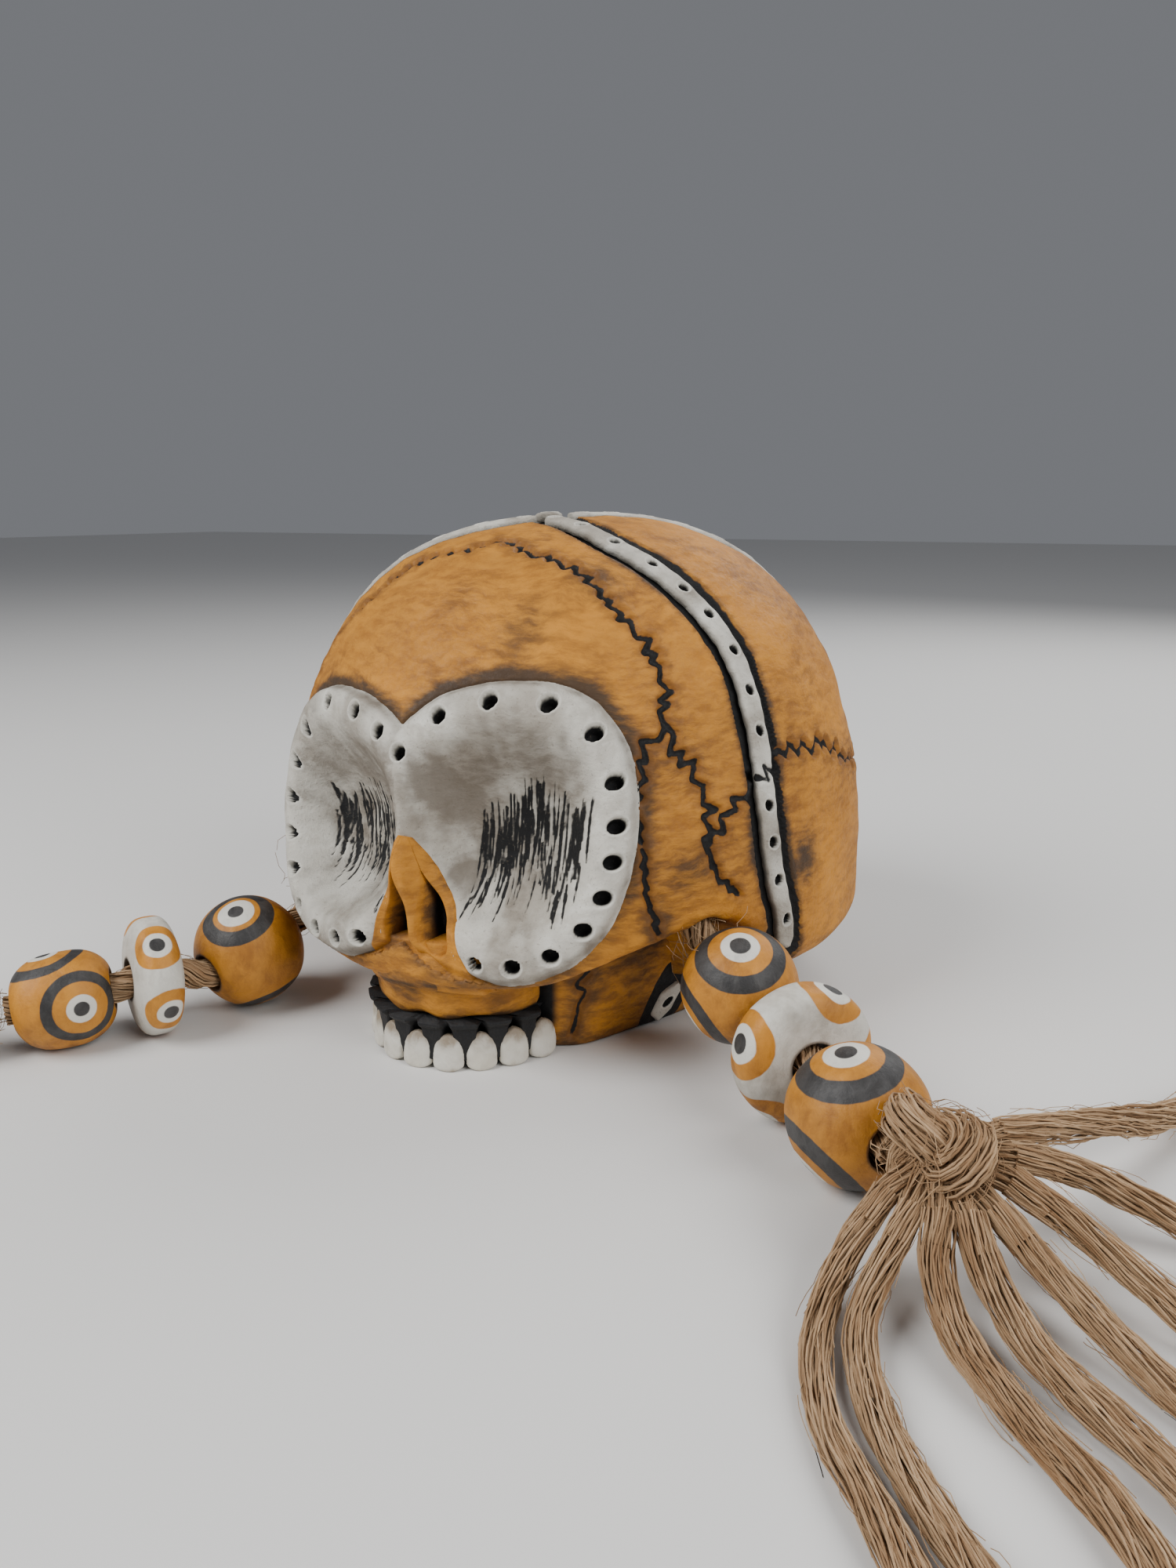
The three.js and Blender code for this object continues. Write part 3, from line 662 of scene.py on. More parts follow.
def knotLine(at, size, turn):
    # an overhand knot: a strand that passes three times round itself
    t = np.linspace(0, 2 * math.pi, 90)
    loop = np.stack([np.sin(t) + 2 * np.sin(2 * t), -np.sin(3 * t) * 1.25, np.cos(t) - 2 * np.cos(2 * t)], 1)
    loop = loop / 3 * (np.array(size) - 1.2)
    a = math.radians(turn)
    turned = np.stack([loop[:, 0] * math.cos(a) - loop[:, 1] * math.sin(a),
                       loop[:, 0] * math.sin(a) + loop[:, 1] * math.cos(a), loop[:, 2]], 1)
    return turned + np.array(at)


def addJute():
    for side, route in bundleRoutes.items():
        middle = np.array(knotPlaces[side]["at"], float)
        roots = [smoothLine([middle * 0.9 + np.array(points[0]) * 0.1,
                             middle * 0.3 + np.array(points[0]) * 0.7,
                             points[0], points[1]], 1)[:-2] for _, points in tasselRoutes[side]]
        settle(spin("knot_roots_" + side, roots, {**juteSetup["root"], "Seed": 5}), [])
        slotLine = smoothLine(route[3:8], 1)
        settle(spin("stray_fibres_" + side,
                    [slotLine, smoothLine([route[-1], middle, tasselRoutes[side][1][1][0]], 1)],
                    {**juteSetup["stray"], "Seed": 7}), [])
        knot = spin("knot_" + side, [knotLine(**knotPlaces[side])], {**juteSetup["knot"], "Seed": 3})
        settle(knot, ["knot_" + side])
        line = smoothLine(route, 1)
        bundle = spin("jute_bundle_" + side, [line], {**juteSetup["bundle"], "Seed": 11})
        settle(bundle, ["jute_bundle_" + side])
        for i, (diameter, points) in enumerate(tasselRoutes[side]):
            name = f"tassel_{side}_{i + 1}"
            strand = smoothLine(points, 1)
            sizes = {"Bundle Radius": diameter * metre * 0.68, "Seed": 40 + i}
            tassel = spin(name, [strand], {**juteSetup["tassel"], **sizes})
            settle(tassel, [name])
    print("jute laid")


addJute()


# the cranium's shape, the same rounded block that the frame is made on
head = {
    "midY": 17.3, "midZ": 16.8, "halfWidth": 49.5, "front": 54.2, "back": 42.7, "top": 63.3, "below": 10.6,
    "roundFront": 1.91, "roundBack": 2.41, "roundTop": 2.52, "roundBelow": 2.81,
    "wall": 5, "core": (0, 6, 40), "levels": 8, "scale": 45, "blend": 2.6, "baseWall": 13, "rings": 12,
    "castFrom": 4.0, "castTo": 95.0, "halvings": 26,
    "grooveDepth": 1.35, "sutureDepth": 0.75, "slotDepth": 3.2, "underMask": 1.9, "underNoseDepth": 9.5,
}
headMid = np.array([0, head["midY"], head["midZ"]])
underCheek = [(-70, 4), (-31, 14.8), (-25, 18.4), (-18, 21.5), (-11, 22), (-5.5, 18), (-1.6, 13), (-0.6, -5),
              (0, -60)]
seamLine = [(-1.5, 0), (-1.5, 17), (-4, 28), (-4.8, 39), (-3.4, 50), (-1.9, 61), (-1.8, 70), (-0.5, 76),
            (3.5, 79),
            (5, 90)]


def headValue(away):
    front = away[..., 1] < 0
    up = away[..., 2] > 0
    level = np.where(front, head["roundFront"], head["roundBack"])
    depth = np.where(front, head["front"], head["back"])
    rise = np.where(up, head["roundTop"], head["roundBelow"])
    height = np.where(up, head["top"], head["below"])
    wide = np.abs(away[..., 0] / head["halfWidth"]) ** level
    flat = (wide + np.abs(away[..., 1] / depth) ** level) ** (1 / level)
    return (flat ** rise + np.abs(away[..., 2] / height) ** rise) ** (1 / rise)


def toHead(points, offset):
    away = points - headMid
    far = np.linalg.norm(away, axis=-1)
    reach = far / headValue(away) + offset
    return away / far[..., None] * reach[..., None] + headMid


def faceY(x, z):
    up = z > head["midZ"]
    height = np.where(up, head["top"], head["below"])
    rise = np.where(up, head["roundTop"], head["roundBelow"])
    level = head["roundFront"]
    flat = np.clip(1 - np.abs((z - head["midZ"]) / height) ** rise, 0, 1) ** (1 / rise)
    left = np.maximum(flat ** level - np.abs(x / head["halfWidth"]) ** level, 0.01)
    return head["midY"] - head["front"] * left ** (1 / level)


def facePoint(x, z, offset):
    return toHead(np.stack([x, faceY(x, z), z], -1), offset)


# eye sockets
faceX = -1.2
socket = {
    "midX": 15.2, "halfInner": 21, "squareness": 2.3, "thickness": 3, "grid": 0.26,
    "right": {"side": 1, "midZ": 36.8, "halfOuter": 16.4, "halfHeight": 21.3},
    "left": {"side": -1, "midZ": 35.4, "halfOuter": 17.2, "halfHeight": 19.8},
    "profile": [(0, -10.5), (0.28, -9.9), (0.5, -7.1), (0.64, -2.6), (0.7, 0.2), (0.76, 2.2), (3, 2.2)],
    "holeDepth": 2.5, "holeRing": 0.845,
    "holes": {
        "right": [123, 101, 77, 54, 29, 6, -14, -33, -50, -67, -83, -99, 146],
        "left": [127, 108, 82, 52, 26, 2, -22, -44, -64, -84, -103, -119, -135],
    },
}


def eyeRing(x, z, eye):
    across = eye["side"] * (x - faceX) - socket["midX"]
    rise = z - eye["midZ"]
    half = np.where(across > 0, eye["halfOuter"], socket["halfInner"])
    n = socket["squareness"]
    return (np.abs(across / half) ** n + np.abs(rise / eye["halfHeight"]) ** n) ** (1 / n), across, rise


def bowlHeight(ring):
    rings, heights = np.array(socket["profile"]).T
    return np.mean([np.interp(ring + d, rings, heights) for d in np.linspace(-0.06, 0.06, 9)], 0)


def softMin(a, b, width):
    h = np.maximum(width - np.abs(a - b), 0) / width
    return np.minimum(a, b) - h * h * width / 4


noseOutline = [(36.2, 0.5), (34.6, 1.4), (32, 2.7), (28, 4.4), (24, 5.9), (20, 7.1), (17, 8.4), (13, 9.4)]


def acrossNose(x, z):
    # 0 on the middle of the nose, 1 on the edge of its paint; the nose leans a little
    zs, widths = np.array(noseOutline)[::-1].T
    middle = 1.4 - 1.7 * np.clip((z - 20) / 16, -0.3, 1)
    return (x - middle) / np.interp(z, zs, widths)


def socketSurface(x, z):
    # height of the painted face over the cranium, and how far out the place is: 1 on the outline
    rings = [eyeRing(x, z, socket[side])[0] for side in ("right", "left")]
    height = softMin(bowlHeight(rings[0]), bowlHeight(rings[1]), 2.4)
    ring = np.minimum(*rings)
    edge = step(ring, 0.9, 1.0) ** 1.5 * 1.7
    sunk = 1.9 * (1 - step(np.abs(acrossNose(x, z)), 0.8, 1.5)) * (1 - step(z, 24, 31))
    return height - edge - sunk, ring


def holePlaces():
    spots = []
    for label, angles in socket["holes"].items():
        eye = socket[label]
        for angle in angles:
            inset = 0.07 * (label == "left") * (abs(angle) < 60)
            c, s = math.cos(math.radians(angle)), math.sin(math.radians(angle))
            half = eye["halfOuter"] if c > 0 else socket["halfInner"]
            n = socket["squareness"]
            reach = (abs(c / half) ** n + abs(s / eye["halfHeight"]) ** n) ** (-1 / n)
            reach = reach * (socket["holeRing"] - inset)
            spots.append((faceX + eye["side"] * (socket["midX"] + reach * c), eye["midZ"] + reach * s))
    return np.array(spots)


# scratched strokes in each bowl: where they begin and end, in the socket's own measure
strokeSetup = {
    "right": {"count": 34, "left": -5.8, "right": 10.4, "top": 11.4, "bottom": -12.6, "lean": -1.2,
              "bend": 2.4, "seed": 5},
    "left": {"count": 28, "left": 9.6, "right": -9.5, "top": 9.6, "bottom": -11.6, "lean": -2.6, "bend": 3.2,
             "seed": 8},
}


def strokeLines(label):
    setup = strokeSetup[label]
    eye = socket[label]
    rng = np.random.default_rng(setup["seed"])
    lines = []
    for i in range(setup["count"]):
        part = i / (setup["count"] - 1)
        for again in (False, True, True):
            start = setup["left"] + (setup["right"] - setup["left"]) * part + rng.normal() * 0.25
            top = setup["top"] * (1 - 0.5 * abs(part - 0.5) * 2) + rng.uniform(-2.0, 0.4)
            long = rng.uniform(0.55, 1.0) * (top - setup["bottom"]) * (1 - 0.2 * part)
            if again:
                top -= rng.uniform(0, 14)
                long = min(rng.uniform(3, 9), top - setup["bottom"])
            t = np.linspace(0, 1, int(long / 0.12) + 6)
            down = top - long * t
            drop = (setup["top"] - down) / (setup["top"] - setup["bottom"])
            across = start + setup["lean"] * drop + setup["bend"] * drop * (1 - drop)
            across = across + 0.12 * np.sin(9 * drop + i)
            width = rng.uniform(0.1, 0.26) * np.sin(math.pi * np.clip(t, 0.04, 0.97)) ** 0.5
            width = width * (1.3 - 0.75 * t)
            x = faceX + eye["side"] * (socket["midX"] + across)
            lines.append(np.stack([x, eye["midZ"] + down, width], 1))
    return np.vstack(lines)


def strokeDistance(x, z):
    # how far a place lies outside the nearest stroke; below zero inside it
    marks = np.vstack([strokeLines("right"), strokeLines("left")])
    found = np.full(x.shape, 3.0)
    for level in (0.14, 0.22, 0.34):
        near = marks[(marks[:, 2] > level - 0.12) & (marks[:, 2] <= level)]
        if len(near):
            flat = np.column_stack([x, z, np.zeros_like(x)])
            spots = np.column_stack([near[:, :2], np.zeros(len(near))])
            found = np.minimum(found, nearest(flat, spots, 3.0) - level * 0.8)
    return found


def underNose(x, z):
    # the clay is cut away below the nose, well inside its outline
    return (1 - step(np.abs(acrossNose(x, z)), 0.66, 0.86)) * (1 - step(z, 32.5, 34.5))


def addMask():
    gap = socket["grid"]
    xs = np.arange(faceX - 34.5, faceX + 34, gap)
    zs = np.arange(13, 60.5, gap)
    x, z = np.meshgrid(xs, zs)
    ring = socketSurface(x, z)[1]
    inside = ring <= 1
    cells = inside[:-1, :-1] | inside[1:, :-1] | inside[:-1, 1:] | inside[1:, 1:]
    index = np.arange(x.size).reshape(x.shape)
    quads = np.stack([index[:-1, :-1][cells], index[:-1, 1:][cells], index[1:, 1:][cells],
                      index[1:, :-1][cells]], 1)
    used, quads = np.unique(quads, return_inverse=True)
    quads = quads.reshape(-1, 4)
    x, z = x.ravel()[used], z.ravel()[used]
    for _ in range(3):                     # draws the outermost places in to the outline
        ring = socketSurface(x, z)[1]
        slopeX = (socketSurface(x + 0.05, z)[1] - ring) / 0.05
        slopeZ = (socketSurface(x, z + 0.05)[1] - ring) / 0.05
        over = np.where(ring > 1, (ring - 1) / np.maximum(slopeX ** 2 + slopeZ ** 2, 1e-6), 0)
        x = x - over * slopeX
        z = z - over * slopeZ
    height, ring = socketSurface(x, z)
    flat = np.column_stack([x, z, np.zeros_like(x)])
    holes = holePlaces()
    hole = nearest(flat, np.column_stack([holes, np.zeros(len(holes))]), 9.0)
    hole = hole + 6 * (1 - step(np.abs(acrossNose(x, z)), 1.06, 1.14)) * (1 - step(z, 34, 36))
    stroke = strokeDistance(x, z)
    base = facePoint(x, z, np.zeros_like(x))
    height = height + 0.16 * ripple(base, 9, 31) + 0.05 * ripple(base, 2.2, 32) - 6 * underNose(x, z)
    height -= socket["holeDepth"] * (1 - step(hole, 0.85, 1.2))
    height += 0.12 * np.exp(-((hole - 1.4) / 0.25) ** 2)
    height -= 0.32 * (1 - step(stroke, -0.08, 0.2))
    front = facePoint(x, z, height)
    rear = facePoint(x, z, np.minimum(height, 0) - socket["thickness"] * step(1 - ring, -0.01, 0.1) - 0.6)
    count = len(front)
    edges = np.vstack([quads[:, [0, 1]], quads[:, [1, 2]], quads[:, [2, 3]], quads[:, [3, 0]]])
    keys = np.sort(edges, 1)
    _, first, times = np.unique(keys, axis=0, return_index=True, return_counts=True)
    rim = edges[first[times == 1]]
    skirt = np.stack([rim[:, 1], rim[:, 0], rim[:, 0] + count, rim[:, 1] + count], 1)
    faces = np.vstack([triangles(quads), triangles(quads[:, ::-1] + count), triangles(skirt)])
    eyes = [eyeRing(x, z, socket[side]) for side in ("right", "left")]
    nearer = eyes[0][0] < eyes[1][0]
    ringIn = np.where(nearer, eyes[0][0], eyes[1][0])
    rise = np.where(nearer, eyes[0][2], eyes[1][2]) / 20
    across = np.where(nearer, eyes[0][1], eyes[1][1]) / 18
    # shade: painted shade in the bowls, on their upper slope, in the upper inner corner, in a hollow low on
    # the inner side and over the floor; darker along the lower rim; grime along the rim's edge; random
    # mottling, and the left socket a little darker
    upper = (1 - step(ringIn, 0.6, 0.82)) * step(ringIn, 0.25, 0.6) * step(rise, -0.05, 0.5)
    corner = np.exp(-((across + 0.55) ** 2 + (rise - 0.35) ** 2) / 0.05) * 0.75
    hollow = np.exp(-((across + 0.42) ** 2 + (rise + 0.25) ** 2) / 0.02) * 0.8
    floor = (1 - step(ringIn, 0.3, 0.75)) * 0.32
    lowRim = step(-rise, 0.55, 0.9) * 0.22
    rimGrime = np.exp(-((ringIn - 0.97) / 0.05) ** 2) * 0.4
    shade = upper * 0.42 + corner + hollow + floor + lowRim + rimGrime
    shade += 0.1 + 0.2 * ripple(base, 7, 33) + 0.12 * ripple(base, 2.5, 34) + np.where(nearer, 0, 0.16)

    def twice(values):
        return np.concatenate([values, values])

    makePiece("eye_socket_mask", np.vstack([front, rear]), faces, bonePaint,
              ["eye_socket_mask"],
              layers={"hole": twice(hole), "stroke": twice(stroke), "shade": twice(np.clip(shade, 0, 1))})
    print("mask made")


addMask()


# carved lines of the cranium
sideRoute = [
    (1.2, 5, 80), (8, 2, 79), (16, -1.2, 76), (27, -1.9, 70), (35.6, -1.8, 61), (40.6, -3.4, 50),
    (43, -4.7, 39), (44.5, -4.1, 28), (45.6, -2.3, 21), (45.5, -1.5, 16),
]
rearRoute = [
    (2.6, 10, 80), (4, 15, 80.3), (7, 20.5, 80), (12, 25, 79), (17.7, 28.5, 77.3), (22, 30.5, 75.6),
    (26, 33.5, 72.6), (30, 37.5, 67.5), (33.5, 41.5, 58), (35.5, 44, 46), (36, 45, 32), (35, 44.5, 16),
]
sutures = [
    {"swing": 0.9, "period": 2.7, "seed": 1, "route": [
        (0, -7.6, 76.6), (3.9, -9.8, 75.3), (9.5, -10.1, 74.2), (15.1, -10.8, 72.1), (19.7, -12.3, 68.9),
        (23.7, -12.8, 65.8), (27, -13, 62.6), (29.8, -13.8, 58.3), (31.1, -15.3, 54.2), (31.5, -16.5, 51.6)]},
    {"swing": 1.25, "period": 3.0, "seed": 2, "route": [
        (31.5, -16.5, 51.6), (32.9, -16.3, 48.9), (35.4, -15, 44.9), (37.5, -14, 39.7), (38, -14.9, 33.6)]},
    {"swing": 1.0, "period": 3.2, "seed": 3, "route": [
        (31.5, -16.7, 51.1), (29.9, -19.8, 48.1), (30.1, -21.3, 43.9), (30.3, -22.3, 39.7),
        (31, -22.5, 35.3)]},
    {"swing": 1.1, "period": 3.6, "seed": 4, "route": [
        (38, -14.9, 33.6), (38.9, -12.8, 37.3), (40.8, -8.4, 41.2), (42.8, -2.5, 44.3), (44.2, 2.4, 45.9),
        (46.5, 11.7, 45), (47.5, 25.1, 40), (43, 42, 40), (28, 54, 43), (6, 59, 48)]},
    {"swing": 0.35, "period": 2.6, "seed": 5, "route": [
        (31, -22.5, 35.3), (32, -22.5, 27.4), (33, -21.8, 23.8), (33.6, -21.2, 20.5)]},
    {"swing": 0.4, "period": 2.4, "seed": 6, "route": [
        (38, -14.9, 33.6), (38.6, -14.2, 31), (39.4, -13.5, 29.3), (41.4, -10.6, 25.8)]},
]
mirror = np.array([-1, 1, 1])


def zigzag(suture, flip):
    rng = np.random.default_rng(suture["seed"] + (50 if flip[0] < 0 else 0))
    line = smoothLine(suture["route"], suture["period"] / 2)
    out = unit(line - headMid)
    aside = unit(np.cross(out, np.gradient(line, axis=0)))
    swing = suture["swing"] * rng.uniform(0.35, 1.3, len(line)) * np.where(np.arange(len(line)) % 2, 1, -1)
    swing[[0, -1]] = 0
    along = rng.uniform(-0.3, 0.3, len(line)) * suture["period"]
    moved = line + aside * swing[:, None] + unit(np.gradient(line, axis=0)) * along[:, None]
    path = evenly(moved * flip, 0.2)
    return toHead(path, np.zeros(len(path)))


sutureSpots = np.vstack([zigzag(s, flip) for s in sutures for flip in (np.ones(3), mirror)])
bandLines = {
    "side_band_right": smoothLine(sideRoute, 0.3),
    "side_band_left": smoothLine(np.array(sideRoute) * mirror, 0.3),
    "rear_band_right": smoothLine(rearRoute, 0.3),
    "rear_band_left": smoothLine(np.array(rearRoute) * mirror, 0.3),
}
grooveSpots = np.vstack([toHead(line, np.zeros(len(line))) for line in bandLines.values()])
smudges = [
    {"at": (47.2, 3.2, 28.8), "size": 4.6, "dark": 1.0}, {"at": (36, -18, 31), "size": 4, "dark": 0.55},
    {"at": (43, -8, 33), "size": 4, "dark": 0.45}, {"at": (33, -21.5, 23), "size": 3.5, "dark": 0.5},
    {"at": (-46, 6, 30), "size": 5, "dark": 0.8}, {"at": (20, -10, 71), "size": 7, "dark": 0.3},
    {"at": (12, -21, 63), "size": 6, "dark": 0.35}, {"at": (30, 57, 30), "size": 8, "dark": 0.4},
]


def clayDepth(points):
    # below zero inside the clay: the cranium, with the cheekbones undercut
    block = (headValue(points - headMid) - 1) * head["scale"]
    low = np.interp(points[:, 1], *np.array(underCheek).T) - points[:, 2]
    width = head["blend"]
    h = np.maximum(width - np.abs(block - low), 0) / width
    return np.maximum(block, low) + h * h * width / 4


def castOut(directions):
    # distance from the core to the clay's surface along each direction
    core = np.array(head["core"], float)
    low = np.full(len(directions), head["castFrom"])
    high = np.full(len(directions), head["castTo"])
    for _ in range(head["halvings"]):
        middle = (low + high) / 2
        within = clayDepth(core + directions * middle[:, None]) < 0
        low = np.where(within, middle, low)
        high = np.where(within, high, middle)
    return (low + high) / 2


def roundBall(levels):
    ball = bmesh.new()
    bmesh.ops.create_icosphere(ball, subdivisions=levels, radius=1)
    points = np.array([v.co for v in ball.verts])
    faces = np.array([[v.index for v in f.verts] for f in ball.faces])
    ball.free()
    return unit(points), faces


def carveCranium():
    directions, faces = roundBall(head["levels"])
    core = np.array(head["core"], float)
    points = core + directions * castOut(directions)[:, None]
    height, ring = socketSurface(points[:, 0], points[:, 2])
    facing = (points[:, 1] < 5) & (ring < 1)
    sunk = np.minimum(height - head["underMask"], -1.6) * step(1 - ring, 0, 0.06)
    sunk = sunk - head["underNoseDepth"] * underNose(points[:, 0], points[:, 2])
    points = np.where(facing[:, None], facePoint(points[:, 0], points[:, 2], sunk), points)
    groove = nearest(points, grooveSpots)
    line = nearest(points, sutureSpots)
    slots = np.vstack([smoothLine(route[3:8], 0.5) for route in bundleRoutes.values()])
    slot = nearest(points, slots)
    depth = head["grooveDepth"] * (1 - step(groove, 3.2, 3.8))
    depth += head["sutureDepth"] * (1 - step(line, 0.25, 0.8))
    depth += head["slotDepth"] * (1 - step(slot, 2.6, 4.2))
    lumps = 0.28 * ripple(points, 17, 21) + 0.07 * ripple(points, 4, 22)
    lift = lumps + 0.14 * np.exp(-((line - 1.1) / 0.35) ** 2) - depth
    points = points + directions * np.where(facing, 0, lift)[:, None]
    # shade: airbrushed dark paint just outside the mask's outline, stronger higher up; darker along the
    # carved lines and beside the band grooves; smudges; painted shade towards the bottom and round the cord
    # slots; random mottling
    above = np.maximum(points[:, 2] - 35, 0) / 25
    shade = np.where(points[:, 1] < 5,
                     np.exp(-((ring - 1) / 0.075) ** 2) * (0.5 + 0.5 * np.clip(above, 0, 1)), 0)
    shade += 0.42 * np.exp(-(line / 1.9) ** 2) + 0.5 * np.exp(-((groove - 3.7) / 0.9) ** 2)
    for spot in smudges:
        far = np.linalg.norm(points - np.array(spot["at"]), axis=1)
        shade += spot["dark"] * np.exp(-(far / spot["size"]) ** 2)
    shade += 0.55 * (1 - step(points[:, 2], 7, 17)) + 0.6 * (1 - step(slot, 3, 5.5))
    shade += 0.12 + 0.16 * ripple(points, 13, 23)
    return directions, points, faces, {"line": line, "groove": groove, "shade": np.clip(shade, 0, 1)}


def addShellHalf(name, pole, cranium, chosen):
    # one half of the cranium, closed round its rim and with an inner wall
    directions, points, faces, layers = cranium
    used, faces = np.unique(faces[chosen], return_inverse=True)
    faces = faces.reshape(-1, 3)
    edges = np.vstack([faces[:, [0, 1]], faces[:, [1, 2]], faces[:, [2, 0]]])
    _, first, times = np.unique(np.sort(edges, 1), axis=0, return_index=True, return_counts=True)
    rim = edges[first[times == 1]]
    after = dict(rim.tolist())
    order = [rim[0, 0]]
    while after[order[-1]] != order[0]:
        order.append(after[order[-1]])
    order = np.array(order)
    core = np.array(head["core"], float)
    rings = head["rings"]
    walls = []
    for k in range(rings):
        way = unit(directions[used][order] * (1 - k / rings) + np.array(pole, float) * (k / rings))
        inward = head["wall"] + head["baseWall"] * math.sin(math.pi / 2 * min(1, k / 3)) * (pole[1] < 0)
        walls.append(core + way * (castOut(way) - inward)[:, None])
    pole = np.array([pole], float)
    walls.append(core + pole * (castOut(pole) - inward)[:, None])
    count = len(used)
    around = len(order)
    i = np.arange(around)
    j = (i + 1) % around
    outer = np.stack([order[j], order[i], count + i, count + j], 1)
    quads = [outer] + [count + np.stack([k * around + j, k * around + i, (k + 1) * around + i,
                                         (k + 1) * around + j], 1)
                       for k in range(rings - 1)]
    last = count + (rings - 1) * around
    tip = np.stack([last + j, last + i, np.full(around, last + around)], 1)
    allPoints = np.vstack([points[used], *walls])
    extra = len(allPoints) - count
    filled = {key: np.concatenate([values[used], np.full(extra, 9.0 if key != "shade" else 0.5)])
              for key, values in layers.items()}
    makePiece(name, allPoints, np.vstack([faces, triangles(np.vstack(quads)), tip]), ochrePaint,
              [name], layers=filled)


def largestPart(faces, chosen):
    # keeps the chosen faces in one body: strays go to the other half
    labels = np.arange(faces.max() + 1)
    part = faces[chosen]
    for _ in range(400):
        low = labels[part].min(1)
        before = labels.copy()
        for k in range(3):
            np.minimum.at(labels, part[:, k], low)
        labels = labels[labels]
        if (labels == before).all():
            break
    ids, counts = np.unique(labels[part[:, 0]], return_counts=True)
    keep = chosen.copy()
    keep[np.flatnonzero(chosen)] = labels[part[:, 0]] == ids[counts.argmax()]
    return keep


def addCranium():
    cranium = carveCranium()
    faces = cranium[2]
    core = np.array(head["core"], float)
    middle = (core + cranium[0] * castOut(cranium[0])[:, None])[faces].mean(1)
    ahead = largestPart(faces, middle[:, 1] < np.interp(middle[:, 2], *np.array(seamLine)[:, ::-1].T))
    addShellHalf("face_shell", (0, -1, 0), cranium, ahead)
    addShellHalf("back_shell", (0, 1, 0), cranium, ~ahead)
    print("cranium carved")


addCranium()


# bone-white bands, with a pressed hole every few millimetres
bandSetup = {
    "halfWidth": 1.7, "proud": 0.5, "depth": 1.0, "holeDepth": 1.5, "sutureDepth": 0.5,
    "side_band_right": [1.6, 8.6, 16.8, 24.1, 30.2, 35.7, 42.2, 48.6, 54.7, 65.8, 71.4, 77.4, 84.2, 90.5],
    "side_band_left": [2.0, 9.1, 16.6, 23.6, 30.3, 36.1, 42, 48.1, 54.4, 60.6, 66.9, 72.8, 78.5, 84.8, 90.9],
    "rear_band_right": [3, 9.4, 15.9, 22.2, 28.9, 35.2, 41.6, 48.1, 54.3, 60.8, 67, 73.4, 79.6, 86],
    "rear_band_left": [3.2, 9.7, 15.6, 22.4, 28.6, 35.4, 41.9, 48, 54.6, 60.6, 67.2, 73.3, 79.8, 86],
}


def addBand(name, line):
    half = bandSetup["halfWidth"]
    run = np.concatenate([[0], np.cumsum(np.linalg.norm(np.diff(line, axis=0), axis=1))])
    out = unit(line - headMid)
    aside = unit(np.cross(out, np.gradient(line, axis=0)))
    across = np.linspace(-1, 1, 25)
    top = bandSetup["proud"] - 0.45 * np.abs(across) ** 5
    section = [(-half, -bandSetup["depth"], 0)] + [(a * half, h, 1) for a, h in zip(across, top)]
    section += [(half, -bandSetup["depth"], 0)]
    loops, holes = [], []
    spots = np.array(bandSetup[name])
    for i, at in enumerate(line):
        wide = 1 + 0.05 * math.sin(run[i] * 0.9) + 0.03 * math.sin(run[i] * 2.3)
        ends = step(np.array([min(run[i], run[-1] - run[i])]), -0.2, 1.4)[0]
        loop, far = [], []
        for a, h, topSide in section:
            distance = np.hypot(spots - run[i], a).min()
            pit = bandSetup["holeDepth"] * (1 - step(np.array([distance]), 0.62, 0.98)[0])
            rise = h - topSide * pit + topSide * 0.1 * math.exp(-((distance - 1.15) / 0.2) ** 2)
            loop.append(toHead((at + aside[i] * a * wide * (0.4 + 0.6 * ends))[None], np.array([rise]))[0])
            far.append(distance)
        loops.append(loop)
        holes.append(far)
    points, faces = stack(np.array(loops))
    suture = nearest(points, sutureSpots)
    pressed = bandSetup["sutureDepth"] * (1 - step(suture, 0.3, 0.8))
    points = points - unit(points - headMid) * pressed[:, None]
    hole = np.concatenate([np.array(holes).ravel() + 0.2, [9, 9]])
    shade = np.clip(0.25 + 0.3 * ripple(points, 9, 41) + 0.12 * ripple(points, 3, 42), 0, 1)
    makePiece(name, points, faces[:, ::-1], bonePaint, [name],
              layers={"hole": hole, "line": suture, "shade": shade})


for bandName, bandLine in bandLines.items():
    addBand(bandName, bandLine)
print("bands laid")


# nose: its paint runs down over the mask in a wedge, with two long hollow nostrils
noseSetup = {
    "top": 36.2, "bottom": 13, "crest": 0.9, "hollow": 1.2, "septum": 1.3, "proud": 0.3, "root": 9,
    "nostrilTop": 31.4, "nostrilBottom": 18.8, "nostrilDepth": 5,
}


